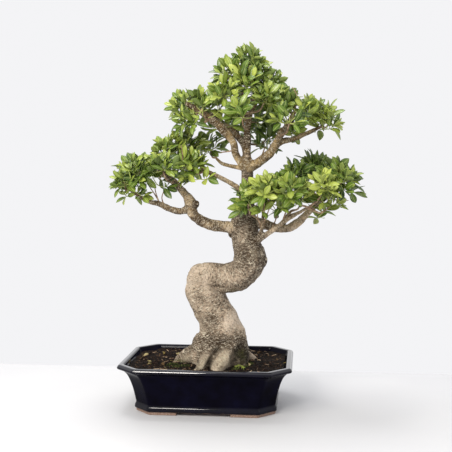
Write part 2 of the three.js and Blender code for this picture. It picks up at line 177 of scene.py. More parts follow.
def add_piece(name, shape, finish, slot, replaced=(), crease=None, **values):
    """A smooth-shaded piece of a shape in millimetres, with point attributes by name. With
    a crease, edges that turn by more than that many degrees stay sharp."""
    points, groups = shape
    mesh = mesh_of(name, (placed(points), groups))
    mesh.shade_smooth()
    if crease:
        mesh.set_sharp_from_angle(angle=np.radians(crease))
    for key, data in values.items():
        data = np.asarray(data, np.float32)
        kind, field = ("FLOAT_VECTOR", "vector") if data.ndim == 2 else ("FLOAT", "value")
        mesh.attributes.new(key, kind, "POINT").data.foreach_set(field, data.ravel())
    mesh.materials.append(finish)
    piece = new_object(name, mesh)
    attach(piece, "root")
    if replaced:
        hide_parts(*replaced)
    triangles = sum(len(group) * (group.shape[1] - 2) for group in groups)
    print(f"{name}: {triangles} triangles")


# %% [markdown]
# ## Helper for materials
#
# A material is a small graph of nodes that works out colour, roughness and bumps at each
# point. One function adds a node, sets it and links it, so each finish below can be read
# from top to bottom. Patterns read Object coordinates, in metres, or the attributes that
# the shapes carry, so they stay on the surface from every side.

# %% Nodes
def add_node(tree, kind, inputs=None, stops=None, **settings):
    """Adds a shader node. Inputs maps a socket's name or number to a value, to one output
    of another node, or to a node, whose first output in use is then linked. Stops are a
    ramp's (place, colour) pairs, and settings are the node's properties."""
    node = tree.nodes.new("ShaderNode" + kind)
    for name, value in settings.items():
        setattr(node, name, value)
    for name, value in (inputs or {}).items():
        if isinstance(value, bpy.types.Node):
            value = next(output for output in value.outputs if output.enabled)
        if isinstance(value, bpy.types.NodeSocket):
            tree.links.new(value, node.inputs[name])
        else:
            node.inputs[name].default_value = value
    if stops:
        elements = node.color_ramp.elements
        while len(elements) < len(stops):
            elements.new(1.0)
        for element, (place, colour) in zip(elements, stops):
            element.position = place
            element.color = linear(colour)
    return node


def new_finish(name):
    """A material with an empty graph, add_node for that graph, and Object coordinates."""
    material = bpy.data.materials.new(name)
    material.use_nodes = True
    material.node_tree.nodes.clear()
    add = partial(add_node, material.node_tree)
    return material, add, add("TexCoord").outputs["Object"]


# Sockets by number: a Math node has its values from 0 on, and a MapRange has its value,
# the range it comes from and the range it goes to. A Mix node has its share at 0, and its
# two colours here.
COLOUR_A, COLOUR_B = 6, 7

# %% [markdown]
# ## The pot's form
#
# The pot is stoneware pressed in a mould: a rectangle with cut corners, hollow sides, a
# rolled rim, a low base band and four feet. It could be modelled by bevelling a box, but
# its wall is one profile carried round one outline, so it is made as a grid: each row is
# the outline moved inwards by an inset at a height. Corners are eased by short curves, and
# a point just outside each curve keeps the flat faces flat when they are shaded smooth.

# %% The pot's outline
pot_length, pot_width = (pot_high - pot_low)[:2] / MM
POT_CHAMFER = 44
CHAMFER_SLIM = 0.16
CORNER_EASE = 5
CORNER_GUARD = 2.5
CORNER_STEPS = 6


def pot_ring(inset, height):
    """Outline rows (n, columns, 3) at insets and heights. Each corner C is eased from A to
    B on its two edges by (1-t)^2 A + 2t(1-t) C + t^2 B."""
    inset = np.atleast_1d(np.asarray(inset, float))
    a = pot_length / 2 - inset
    b = pot_width / 2 - inset
    c = POT_CHAMFER - CHAMFER_SLIM * inset
    x = np.stack([a, a, a - c, c - a, -a, -a, c - a, a - c], -1)
    y = np.stack([c - b, b - c, b, b, b - c, c - b, -b, -b], -1)
    corner = np.stack([x, y], -1)[:, :, None]
    back = unit(np.roll(corner, 1, axis=1) - corner)
    ahead = unit(np.roll(corner, -1, axis=1) - corner)
    start = corner + CORNER_EASE * back
    end = corner + CORNER_EASE * ahead
    t = np.linspace(0, 1, CORNER_STEPS)[:, None]
    curve = (1 - t) ** 2 * start + 2 * t * (1 - t) * corner + t**2 * end
    guards = start + CORNER_GUARD * back, end + CORNER_GUARD * ahead
    flat = np.concatenate([guards[0], curve, guards[1]], axis=2)
    flat = flat.reshape(len(inset), -1, 2)
    rise = np.broadcast_to(np.reshape(height, (-1, 1, 1)), flat.shape[:2] + (1,))
    return np.concatenate([flat, rise], -1)


# %% [markdown]
# Roots, limbs and the pot's profile are all given by a few stations. A cubic curve from
# each station to the next one runs smoothly through them all, as a hand-drawn line would.

# %% A smooth line through stations
def smooth_line(stations, step):
    """Stations joined by cubic curves: between b and c, with a before and d after,
    (2b + (c-a)t + (2a-5b+4c-d)t^2 + (3b-a-3c+d)t^3) / 2, a point each step or closer."""
    s = np.asarray(stations, float)
    padded = np.concatenate([2 * s[:1] - s[1:2], s, 2 * s[-1:] - s[-2:-1]])
    spans = []
    for a, b, c, d in zip(padded, padded[1:], padded[2:], padded[3:]):
        count = int(np.ceil(np.linalg.norm((c - b)[:3]) / step))
        t = (np.arange(count) / count)[:, None]
        cubic = (2 * a - 5 * b + 4 * c - d) * t**2 + (3 * b - a - 3 * c + d) * t**3
        spans.append((2 * b + (c - a) * t + cubic) / 2)
    return np.concatenate([*spans, s[-1:]])


# Profile as (inset, height): underside edge, base band and its ledge, hollow wall, rim,
# and the inner wall down to the floor.
POT_PROFILE = [
    (36.6, 7), (35.3, 7.5), (34.8, 9.3), (34.8, 12.4), (35.2, 14.8), (36.2, 16.9), (37.3, 18.9),
    (37.4, 21.5),
    (35, 35), (31.5, 52), (26, 71), (19, 87.5), (10, 98.2), (3.2, 101.4), (0.8, 102.8),
    (0, 104.4), (0, 105.6), (0.35, 106.8), (1.55, 109.5), (2.7, 111), (4.6, 111.8), (6.4, 112),
    (9.8, 112),
    (11.2, 111.9), (13.2, 111.2), (14.6, 109.6), (15.8, 106), (18, 102), (25.5, 90), (33, 73),
    (40, 50), (46, 16),
]
profile = smooth_line(POT_PROFILE, 3.5)
wall = pot_ring(profile[:, 0], profile[:, 1])
rows, columns = wall.shape[:2]
underside = np.arange(columns)[None, ::-1]
floor_cap = np.arange(columns)[None] + (rows - 1) * columns
wall_shape = wall.reshape(-1, 3), [grid_faces(rows, columns, wrap=True), underside, floor_cap]
print("pot rows and columns:", rows, columns)

# %% [markdown]
# Two drain holes go through the floor. A boolean cuts them cleanly, because the floor is
# one flat face there. The cut mesh is read back as arrays, to be joined to the feet.

# %% Drain holes
HOLE_RADIUS = 12
HOLE_X = 90
HOLE_SIDES = 32
FLOOR_Z = 16
DRILL_FOOT = -5


def plain_object(name, shape):
    """A bare object of a shape, for work that is thrown away afterwards."""
    return new_object(name, mesh_of(name, shape))


def finished_shape(thing):
    """An object's mesh after its modifiers, as points and face groups by corner count."""
    bpy.context.view_layer.update()
    mesh = thing.evaluated_get(bpy.context.evaluated_depsgraph_get()).to_mesh()
    points = np.empty(len(mesh.vertices) * 3)
    mesh.vertices.foreach_get("co", points)
    corners = np.empty(len(mesh.loops), int)
    mesh.loops.foreach_get("vertex_index", corners)
    sizes = np.empty(len(mesh.polygons), int)
    mesh.polygons.foreach_get("loop_total", sizes)
    starts = np.cumsum(sizes) - sizes
    groups = [
        corners[starts[sizes == size][:, None] + np.arange(size)] for size in np.unique(sizes)
    ]
    return points.reshape(-1, 3), groups


turn = np.linspace(0, 2 * np.pi, HOLE_SIDES, endpoint=False)
circle = np.stack([np.cos(turn), np.sin(turn), 0 * turn], -1) * HOLE_RADIUS
bore = np.stack([circle, circle + 2 * FLOOR_Z * UP])
drills = together([closed_tube(bore + [x, 0, DRILL_FOOT]) for x in (-HOLE_X, HOLE_X)])
pot_body = plain_object("pot body", wall_shape)
drill = plain_object("drill", drills)
cut = pot_body.modifiers.new("drain holes", "BOOLEAN")
cut.operation = "DIFFERENCE"
cut.solver = "EXACT"
cut.object = drill
body_shape = finished_shape(pot_body)
bpy.data.objects.remove(pot_body)
bpy.data.objects.remove(drill)
print("pot body points:", len(body_shape[0]))

# %% [markdown]
# The four feet are left of one low ring under the pot, cut away at the middle of each
# side. A foot turns two corners, so it is a rounded section carried along that stretch of
# the outline. The other three are its mirror images, with their faces turned back round.

# %% Feet
FOOT_OUTER, FOOT_INNER = 38, 53
FOOT_TOP = 8
FOOT_ROUND = 1.3
FOOT_GAP_FRONT, FOOT_GAP_SIDE = 124, 80

quarter = np.radians(np.linspace(0, 90, 4))
section = [
    *[(FOOT_INNER - FOOT_ROUND * (1 - np.sin(q)), FOOT_ROUND * (1 - np.cos(q))) for q in quarter],
    (FOOT_INNER, FOOT_TOP),
    (FOOT_OUTER, FOOT_TOP),
    *[(FOOT_OUTER + FOOT_ROUND * (1 - np.cos(q)), FOOT_ROUND * (1 - np.sin(q))) for q in quarter],
][::-1]
section = np.array(section)
rings = pot_ring(section[:, 0], section[:, 1])
per_corner = CORNER_STEPS + 2
bend = np.concatenate([rings[:, -per_corner:], rings[:, :per_corner]], axis=1)
start, end = bend[:, :1].copy(), bend[:, -1:].copy()
start[..., 0] = FOOT_GAP_FRONT / 2
end[..., 1] = -FOOT_GAP_SIDE / 2
foot = np.concatenate([start, bend, end], axis=1)
count, path = foot.shape[:2]
foot_faces = grid_faces(count + 1, path) % (count * path)
first_cap = (np.arange(count) * path)[None]
last_cap = (np.arange(count) * path + path - 1)[None, ::-1]
feet = []
for flip in ([1, 1, 1], [-1, 1, 1], [1, -1, 1], [-1, -1, 1]):
    groups = [foot_faces, first_cap, last_cap]
    if np.prod(flip) < 0:
        groups = [group[:, ::-1] for group in groups]
    feet.append(((foot * flip).reshape(-1, 3), groups))
pot_points, pot_faces = together([body_shape, *feet])
print("pot points:", len(pot_points))

# %% [markdown]
# The glaze needs to know the outer side of the rim from its inner side. How far in a point
# lies tells them apart: the least of its distances to a long side, a short side and a cut
# corner. The answer is 1 or 0 at each point.

# %% Outer side of the pot
RIM_OUTER_SIDE = 12
across, deep = np.abs(pot_points[:, 0]), np.abs(pot_points[:, 1])
cut_side = pot_length / 2 + pot_width / 2 - POT_CHAMFER - across - deep
way_in = np.minimum(pot_length / 2 - across, pot_width / 2 - deep)
outer = np.minimum(way_in, cut_side / (2 - CHAMFER_SLIM)) < RIM_OUTER_SIDE
print("points on the outer side:", outer.sum())

# %% [markdown]
# ## Finish: dark blue stoneware glaze
#
# The glaze is a feldspar glass over dark clay, dipped and fired. It looks nearly black and
# goes blue where it is thick. It stops a little above the feet, which are bare tan clay
# and matt. The glaze line is the height of a point plus a little noise.

# %% Glaze and bare clay
glaze, add, where = new_finish("dark blue stoneware glaze")
height = add("SeparateXYZ", {0: where}).outputs["Z"]
# Pooling of the glaze, in clouds about 30 mm wide
pooling = add("TexNoise", {"Vector": where, "Scale": 33.0, "Detail": 3.0})
glass = add(
    "ValToRGB", {0: pooling}, stops=[(0.3, "#08070e"), (0.6, "#0b0a17"), (0.85, "#0e0e20")]
)
# The glaze line runs at 7.6 mm, and wanders by about 1 mm in waves 25 mm long
wander = add("TexNoise", {"Vector": where, "Scale": 40.0, "Detail": 1.0})
line = add("Math", {0: wander, 1: 0.003, 2: 0.0061}, operation="MULTIPLY_ADD")
above_line = add("Math", {0: height, 1: line}, operation="SUBTRACT")
glazed = add("MapRange", {0: above_line, 1: -0.0003, 2: 0.0003})
# Grit in the clay, about 1.5 mm
grit = add("TexNoise", {"Vector": where, "Scale": 650.0, "Detail": 2.0})
clay = add(
    "ValToRGB", {0: grit}, stops=[(0.3, "#6d5548"), (0.55, "#8d7567"), (0.75, "#a99486")]
)
colour = add("Mix", {0: glazed, COLOUR_A: clay, COLOUR_B: glass}, data_type="RGBA")
rough = add("MapRange", {0: glazed, 3: 0.85, 4: 0.07})

# %% [markdown]
# Glaze runs and gathers on the rim and on the base band, which mirror the room sharply.
# The roll at the rim's outer edge holds most of it and shines brightest. The thin skin of
# the hollow sides and the wall inside the rim mirror little and stay nearly black. So the
# specular level follows the height and the side of the rim.

# %% Gloss of the glaze
outer_side = add("Attribute", attribute_name="outer").outputs["Fac"]
rim_level = add("MapRange", {0: outer_side, 3: 0.05, 4: 0.15})
rim_gloss = add("MapRange", {0: height, 1: 0.099, 2: 0.105, 3: 0.015, 4: rim_level})
# The roll shines between 108 and 111 mm up
edge_start = add("MapRange", {0: height, 1: 0.107, 2: 0.1085, 3: 0.0, 4: 0.5})
edge_end = add("MapRange", {0: height, 1: 0.1105, 2: 0.1118, 3: 1.0, 4: 0.0})
edge_shine = add("Math", {0: edge_start, 1: edge_end}, operation="MULTIPLY")
edge_level = add("Math", {0: edge_shine, 1: outer_side, 2: rim_gloss}, operation="MULTIPLY_ADD")
band_gloss = add("MapRange", {0: height, 1: 0.023, 2: 0.018, 3: 0.0, 4: 0.16})
mirror = add("Math", {0: edge_level, 1: band_gloss}, operation="ADD")
# The dipped skin is never quite level: swells of 12 mm, 0.15 mm deep
swell = add("TexNoise", {"Vector": where, "Scale": 80.0, "Detail": 1.0})
skin = add("Bump", {"Strength": 0.25, "Distance": 0.00015, "Height": swell})
shader = add("BsdfPrincipled", {
    "Base Color": colour, "Roughness": rough, "IOR": 1.5, "Specular IOR Level": mirror,
    "Normal": skin,
})
add("OutputMaterial", {"Surface": shader})

add_piece(
    "glazed_pot", (pot_points, pot_faces), glaze, "blue_glaze", ["pot"], crease=38, outer=outer
)

# %% [markdown]
# ## Finish: the netting under the soil
#
# Squares of black plastic netting keep the soil in. They are moulded polyethylene, dull
# and a little dusty. The solids have the right shape, so they stay, with a new finish.

# %% Netting
netting, add, where = new_finish("black moulded netting")
# Dust in patches about 4 mm wide
dust = add("TexNoise", {"Vector": where, "Scale": 250.0, "Detail": 3.0})
shade = add("ValToRGB", {0: dust}, stops=[(0.35, "#161616"), (0.75, "#3a332b")])
shader = add("BsdfPrincipled", {"Base Color": shade, "Roughness": 0.6, "IOR": 1.5})
add("OutputMaterial", {"Surface": shader})
for node in ("drain_screen_left", "drain_screen_right"):
    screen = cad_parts[node]
    screen.data.materials.clear()
    screen.data.materials.append(netting)
    print(node, "is netting")

# %% [markdown]
# ## The wood's routes
#
# The trunk leans right out of its roots, swings left into a rounded elbow, crosses back as
# a level knee and then climbs straight up. Each root and limb is a row of stations along
# its middle: x, y, z and radius. They are the stations of the solids, but for two front
# roots and the crown's long right limb, which lie a few millimetres off.

# %% Routes
TRUNK = {
    "foot": [
        [20, -6, 74, 58], [23, -7, 94, 67], [26, -7, 114, 70], [30, -6, 146, 67],
        [32, -4, 178, 56], [21, -2, 211, 46], [5, 0, 237, 43], [-8, 4, 265, 46],
        [-10, 6, 289, 42], [-13, 5, 308, 39], [-15, 4, 322, 29], [-13, 4, 331, 10],
    ],
    "knee": [
        [-16, 3, 298, 24], [-4, 0, 301, 33], [12, -2, 303, 36], [40, -8, 303, 35],
        [70, -12, 309, 35], [91, -14, 327, 35], [99, -12, 350, 38], [95, -6, 374, 34],
        [88, -1, 400, 32], [85, 3, 428, 30], [86, 5, 456, 26], [88, 6, 487, 18],
        [90, 5, 517, 14], [91, 4, 546, 14], [89, 3, 574, 14],
    ],
}
ROOTS = {
    "left": [[0, -12, 136, 32], [-30, -17, 121, 26], [-57, -21, 106, 19], [-82, -25, 86, 8]],
    "left back": [[0, 18, 130, 26], [-40, 36, 112, 15], [-74, 50, 101, 9], [-98, 58, 87, 4]],
    "front left": [[16, -34, 132, 24], [6, -64, 122, 18], [-5, -84, 112, 16], [-18, -97, 95, 9]],
    "front": [[43, -30, 138, 30], [47, -56, 128, 26], [37, -76, 117, 21], [22, -93, 95, 11]],
    "front right": [[56, -18, 132, 25], [74, -34, 115, 18], [86, -46, 101, 11], [96, -56, 85, 5]],
    "right": [[46, 0, 132, 28], [76, 16, 116, 19], [100, 33, 102, 11], [120, 47, 87, 5]],
    "back": [[20, 30, 132, 27], [14, 60, 114, 18], [8, 81, 100, 12], [3, 96, 84, 5]],
}
LIMBS = {
    "low left": [
        [75, 0, 416, 15], [42, -4, 424, 13], [16, -9, 427, 12.5], [-8, -12, 434, 13],
        [-30, -14, 448, 12.5], [-40, -14, 466, 12.5], [-42, -12, 482, 13.5],
        [-52, -8, 499, 10], [-77, 3, 523, 9], [-108, 7, 551, 6.5], [-142, 2, 574, 4],
    ],
    "low left reach": [
        [-44, -14, 466, 9.5], [-65, -18, 461, 8], [-86, -20, 465, 7.5],
        [-112, -22, 477, 6.5], [-145, -25, 487, 5], [-182, -28, 511, 3.5],
    ],
    "mid left": [
        [82, 0, 506, 7], [56, -8, 525, 5.8], [24, -13, 542, 5.2], [-4, -16, 555, 4.7],
        [-16, -18, 568, 4.5], [-29, -20, 587, 3.5],
    ],
    "thin left": [[79, 8, 562, 6], [54, 16, 566, 4.5], [29, 25, 574, 4], [15, 30, 586, 3.4]],
    "high left": [
        [89, 0, 562, 12], [74, -2, 577, 9.5], [64, -6, 598, 9], [59, -8, 623, 8.8],
        [38, -12, 648, 9.5], [8, -16, 676, 8.5], [-20, -19, 695, 7.2], [-52, -20, 713, 4.7],
    ],
    "high left back": [
        [91, 2, 585, 9.5], [82, 11, 616, 8.3], [65, 20, 640, 8.3], [40, 29, 660, 7.6],
        [7, 38, 687, 5.4], [-11, 44, 698, 4],
    ],
    "leader": [
        [91, 0, 568, 14], [91, -3, 610, 9.5], [92, -10, 648, 7.6], [97, -9, 682, 6.8],
        [112, -1, 718, 6], [118, 4, 750, 5.3], [112, 4, 768, 4.6], [105, 1, 780, 3.5],
    ],
    "leader front": [[94, -10, 664, 6], [83, -20, 684, 5], [62, -38, 704, 3.5]],
    "high right": [
        [96, 0, 560, 13], [122, -5, 579, 11], [151, -10, 603, 9.4], [166, -14, 632, 7.8],
        [187, -18, 664, 6.5], [203, -22, 692, 4],
    ],
    "high right reach": [
        [159, -10, 610, 7], [173, -4, 623, 7], [197, 1, 628, 6.2], [223, 2, 639, 5.5],
        [262, -3, 657, 3.8],
    ],
    "low right": [
        [112, 8, 435, 14], [140, 12, 428, 11.5], [166, 12, 420, 10], [192, 5, 422, 9.4],
        [214, -4, 438, 8.8], [236, -9, 459, 7], [268, -12, 488, 5.3], [306, -8, 515, 3.5],
    ],
    "low right front": [
        [118, -22, 392, 8], [133, -34, 405, 6.5], [160, -42, 424, 5.6],
        [193, -46, 449, 5.2], [232, -50, 470, 3.7],
    ],
    "low right back": [[171, 12, 421, 7], [182, 30, 444, 5.4], [192, 42, 458, 4.5]],
    "front twig": [[121, -24, 400, 7], [129, -42, 428, 4.6], [134, -56, 479, 3.4]],
    "front side twig": [[128, -44, 433, 3.4], [118, -54, 446, 3], [106, -60, 455, 2.7]],
}
STUMPS = {
    "right scar": [[100, -12, 342, 18], [132, -16, 344, 16], [138, -17, 344, 12]],
    "front scar": [[84, -10, 396, 12], [82, -34, 396, 10], [82, -37, 396, 6]],
    "limb knob": [[-30, -14, 474, 9], [-26, -24, 480, 8], [-25, -28, 482, 5]],
    "crotch cut": [[92, 0, 588, 9], [93, -13, 591, 7], [93, -15, 591, 4]],
    "back scar": [[60, 10, 408, 14], [54, 28, 413, 9], [52, 34, 415, 5]],
}
ROUTE_GROUPS = {"trunk": TRUNK, "root": ROOTS, "limb": LIMBS, "stump": STUMPS}
print("routes:", sum(len(group) for group in ROUTE_GROUPS.values()))

# %% [markdown]
# ## Wood as rings along routes
#
# A ring is laid at every few millimetres of a route. Its sides turn as little as they can
# from ring to ring, so nothing twists, and slow waves round the ring give the flutes of
# old ficus wood. The rings' frames are kept, because the bark's grain follows them too.

# %% Frames and rings
LUMPS = {"trunk": 0.03, "root": 0.05, "limb": 0.04, "stump": 0.03}
RING_SIDES = {"trunk": 36, "root": 24, "limb": 16, "stump": 16}
RING_STEP = 4.0


def frames_along(path):
    """Direction, side and across at each point. The side is the last one made square."""
    along = unit(np.gradient(path, axis=0))
    side = np.array([1.0, 0, 0]) if abs(along[0, 1]) > 0.8 else np.array([0, 1.0, 0])
    sides = []
    for direction in along:
        side = unit(side - direction * (side @ direction))
        sides.append(side)
    return along, np.array(sides), np.cross(along, sides)


def wood_line(route, step=RING_STEP):
    """A route with its station number as a fifth column, made smooth."""
    numbered = np.column_stack([route, np.arange(len(route))])
    return smooth_line(numbered, step)


def wood_tube(route, sides, lumps):
    """A closed tube: reach r(1 + lumps(sin(3a + k/2) + 0.6 sin(5a - 0.7k))) at angle a
    and station number k."""
    line = wood_line(route)
    _, side, across = frames_along(line[:, :3])
    angle = np.linspace(0, 2 * np.pi, sides, endpoint=False)
    k = line[:, 4:5]
    flute = np.sin(3 * angle + k / 2) + 0.6 * np.sin(5 * angle - 0.7 * k)
    reach = (line[:, 3:4] * (1 + lumps * flute))[..., None]
    spread = np.cos(angle)[:, None] * side[:, None] + np.sin(angle)[:, None] * across[:, None]
    return closed_tube(line[:, None, :3] + reach * spread)


# %% [markdown]
# Real wood has no seams where a limb leaves a trunk: the collar swells smoothly. To get
# that, the tubes are fused by a voxel remesh, which keeps only their common skin, and the
# skin is relaxed. Relaxing shrinks thin limbs, so every step inwards is followed by one
# back outwards, which smooths corners and keeps thickness.

# %% Fused and relaxed skin
VOXEL = 2.0
RELAX_ROUNDS = 7


def relaxed(points, edges, rounds, inwards=0.5, outwards=-0.52):
    """Moves points towards the mean of their neighbours, then back out, for some rounds."""
    ends, others = edges.ravel(), edges[:, ::-1].ravel()
    count = np.bincount(ends, minlength=len(points))[:, None]
    for share in [inwards, outwards] * rounds:
        total = [np.bincount(ends, points[others, axis], len(points)) for axis in range(3)]
        points = points + share * (np.stack(total, -1) / count - points)
    return points


def point_normals(points, quads):
    """Outward direction at each point: the sum of its faces' crossed diagonals."""
    crossed = np.cross(points[quads[:, 2]] - points[quads[:, 0]],
                       points[quads[:, 3]] - points[quads[:, 1]])
    spread = np.repeat(crossed, 4, axis=0)
    total = [np.bincount(quads.ravel(), spread[:, axis], len(points)) for axis in range(3)]
    return unit(np.stack(total, -1) + 1e-12)


tubes = [
    wood_tube(route, RING_SIDES[group], LUMPS[group])
    for group, routes in ROUTE_GROUPS.items()
    for route in routes.values()
]
rough_wood = plain_object("rough wood", together(tubes))
fuse = rough_wood.modifiers.new("fuse", "REMESH")
fuse.mode = "VOXEL"
fuse.voxel_size = VOXEL
skin_points, (skin_quads,) = finished_shape(rough_wood)
bpy.data.objects.remove(rough_wood)
edges = np.sort(np.stack([skin_quads, np.roll(skin_quads, -1, 1)], -1).reshape(-1, 2), 1)
edges = np.unique(edges, axis=0)
skin_points = relaxed(skin_points, edges, RELAX_ROUNDS)
print("skin:", len(skin_points), "points,", len(skin_quads), "quads")

# %% [markdown]
# Every point of the skin now looks for the nearest ring, measured in radii, so that a limb
# keeps its own bark close up to the trunk. From that ring it takes its grain coordinates:
# two across the wood and one along it. Bark patterns drawn in these run round the girth
# wherever the wood goes, with no seam.

# %% Nearest ring of each point
# Each route's grain starts this much further on, so that no two of a kind look alike
GRAIN_SHIFT = 97
rings = []
for kind, (group, routes) in enumerate(ROUTE_GROUPS.items()):
    for number, route in enumerate(routes.values()):
        line = wood_line(route)
        along, side, across = frames_along(line[:, :3])
        steps = np.diff(line[:, :3], axis=0, prepend=line[:1, :3])
        run = np.cumsum(np.linalg.norm(steps, axis=1)) + GRAIN_SHIFT * number
        kinds = np.full(len(line), kind)
        rings.append(np.column_stack([line[:, :4], along, side, across, kinds, run]))
rings = np.concatenate(rings)
ring_place, ring_radius = rings[:, :3], rings[:, 3]


def nearest_ring(points, chunk=4000):
    """Number of the ring with the least distance over radius, and that distance share."""
    number, share = [], []
    for start in range(0, len(points), chunk):
        part = points[start : start + chunk]
        square = (part**2).sum(1)[:, None] + (ring_place**2).sum(1) - 2 * part @ ring_place.T
        ratio = np.sqrt(np.maximum(square, 0)) / ring_radius
        best = ratio.argmin(1)
        number.append(best)
        share.append(ratio[np.arange(len(part)), best])
    return np.concatenate(number), np.concatenate(share)


near, _ = nearest_ring(skin_points)
offset = skin_points - ring_place[near]
along, side, across = (rings[near, first : first + 3] for first in (4, 7, 10))
kind = rings[near, 13].astype(int)
on_trunk, on_root, on_limb, on_stump = (kind == number for number in range(len(ROUTE_GROUPS)))
grain = np.stack([
    (offset * side).sum(1),
    (offset * across).sum(1),
    rings[near, 14] + (offset * along).sum(1),
], -1)
print("points on trunk and roots:", on_trunk.sum(), on_root.sum())
print("points on limbs and stumps:", on_limb.sum(), on_stump.sum())

# %% [markdown]
# The bark's relief is moved into the mesh: broad swellings, knobs a thumb wide, and small
# wrinkles that run round the girth. Limbs have knobs of their own, and ridges run along
# the left roots. Thin wood has less of it all.

# %% Relief of the bark
# Wood of at least this radius has the full relief
FULL_RADIUS = 36
normal = point_normals(skin_points, skin_quads)
wood_radius = ring_radius[near]
wrinkle_place = grain * [1, 1, 2.6]
relief = (
    2.4 * noise(skin_points, 30, 11)
    + 1.2 * noise(skin_points, 13, 12)
    + 0.8 * noise(wrinkle_place, 9, 13)
    + 0.45 * noise(wrinkle_place, 4.6, 14)
)
relief *= np.clip(wood_radius / FULL_RADIUS, 0.12, 1) ** 0.8
left_roots = on_root * np.clip(-skin_points[:, 0] / 20, 0, 1)
relief += 1.6 * left_roots * noise(grain * [1, 1, 0.25], 8, 20)
knobs = 1.9 * noise(skin_points, 15, 17) + 0.9 * noise(skin_points, 8, 19)
relief += on_limb * knobs * np.clip(wood_radius / 10, 0, 1)
skin_points = skin_points + normal * relief[:, None]
print("relief in mm, from and to:", relief.min().round(1), relief.max().round(1))

# %% [markdown]
# Then the clefts between the root lobes and the hollows of healed cuts are pressed in at
# their places, and a few swellings are raised. Each is a soft patch, which fades out with
# the distance from its middle.

# %% Clefts, hollows and swellings
def patch(points, middle, reach):
    """1 at a place, falling off as exp(-(distance / reach)^2) in three directions."""
    away = (points - np.array(middle)) / np.array(reach)
    return np.exp(-(away**2).sum(-1))


# Place, reach and depth, where a minus is a swelling
HOLLOWS = [
    ([24, -90, 141], [5, 22, 7], 8), ([18, -93, 130], [4.5, 22, 7], 9),
    ([12, -96, 118], [4.5, 22, 7], 10), ([7, -99, 107], [4.5, 22, 7], 9),
    ([-7, -88, 141], [5, 22, 8], 6), ([-16, -92, 130], [5, 22, 8], 7),
    ([-24, -92, 116], [5, 20, 10], 7), ([66, -78, 126], [7, 22, 20], 8),
    ([44, -86, 126], [14, 20, 14], -3), ([27, -80, 158], [34, 30, 6], 5),
    ([-42, -58, 120], [13, 18, 13], -4),
    ([85, -45, 401], [9, 12, 12], 5), ([-25, -30, 482], [4, 5, 4], 3),
    ([-12, -40, 265], [8, 30, 26], 5), ([8, -36, 282], [26, 24, 7], 5),
    ([137, -20, 343], [10, 12, 16], 5), ([4, -25, 425], [6, 14, 9], -3),
    ([80, -10, 208], [12, 50, 30], 6), ([18, -66, 298], [5, 20, 7], 3),
    ([-22, -25, 440], [6, 14, 9], -3), ([-12, -12, 334], [9, 36, 9], -4),
    ([-11, -32, 322], [9, 26, 14], -2.5), ([31, -86, 150], [6, 22, 7], 7),
    ([40, -82, 159], [9, 22, 6], 5), ([80, -58, 138], [9, 22, 13], 7),
]
for middle, reach, depth in HOLLOWS:
    sunk = depth * patch(skin_points, middle, reach)
    skin_points = skin_points - normal * sunk[:, None]
normal = point_normals(skin_points, skin_quads)
print("hollows and swellings:", len(HOLLOWS))

# %% [markdown]
# Tone and painted shade colour the wood. The elbow and the lower trunk are pale grey-tan,
# the upper trunk is darker and browner, and the limbs are a warmer tan. The tone starts
# from the kind of wood, and then soft patches at their places make it darker, or paler
# with a minus. Painted shade darkens the faces that look down, the foot of the trunk above
# the front root lobes, the clefts between them, the hollows of healed cuts and the creases.

# %% Patches of tone and painted shade
def patches(places):
    """Sum of patches, each given as its place, its reach and its strength."""
    return sum(strength * patch(skin_points, middle, reach) for middle, reach, strength in places)


z = skin_points[:, 2]
# Values by kind of wood are for trunk, root, limb and stump
warm = np.choose(kind, [0.0, 0.0, 1.0, 0.2]) * np.interp(z, [400, 430, 540, 570], [0, 0.5, 0.6, 1])
tone_and_shade = np.choose(kind, [0.29, 0.27, 0.39, 0.65])
tone_and_shade += on_trunk * 0.42 * np.clip((z - 325) / 60, 0, 1)
tone_and_shade += on_limb * (0.28 * noise(skin_points, 13, 18) + 0.16 * np.clip((z - 570) / 30, 0, 1))
# Painted shade: faces that look down are darker. The tone also wanders at random
tone_and_shade += 0.12 * np.clip(-normal[:, 2], 0, 1) + 0.2 * noise(skin_points, 26, 15)
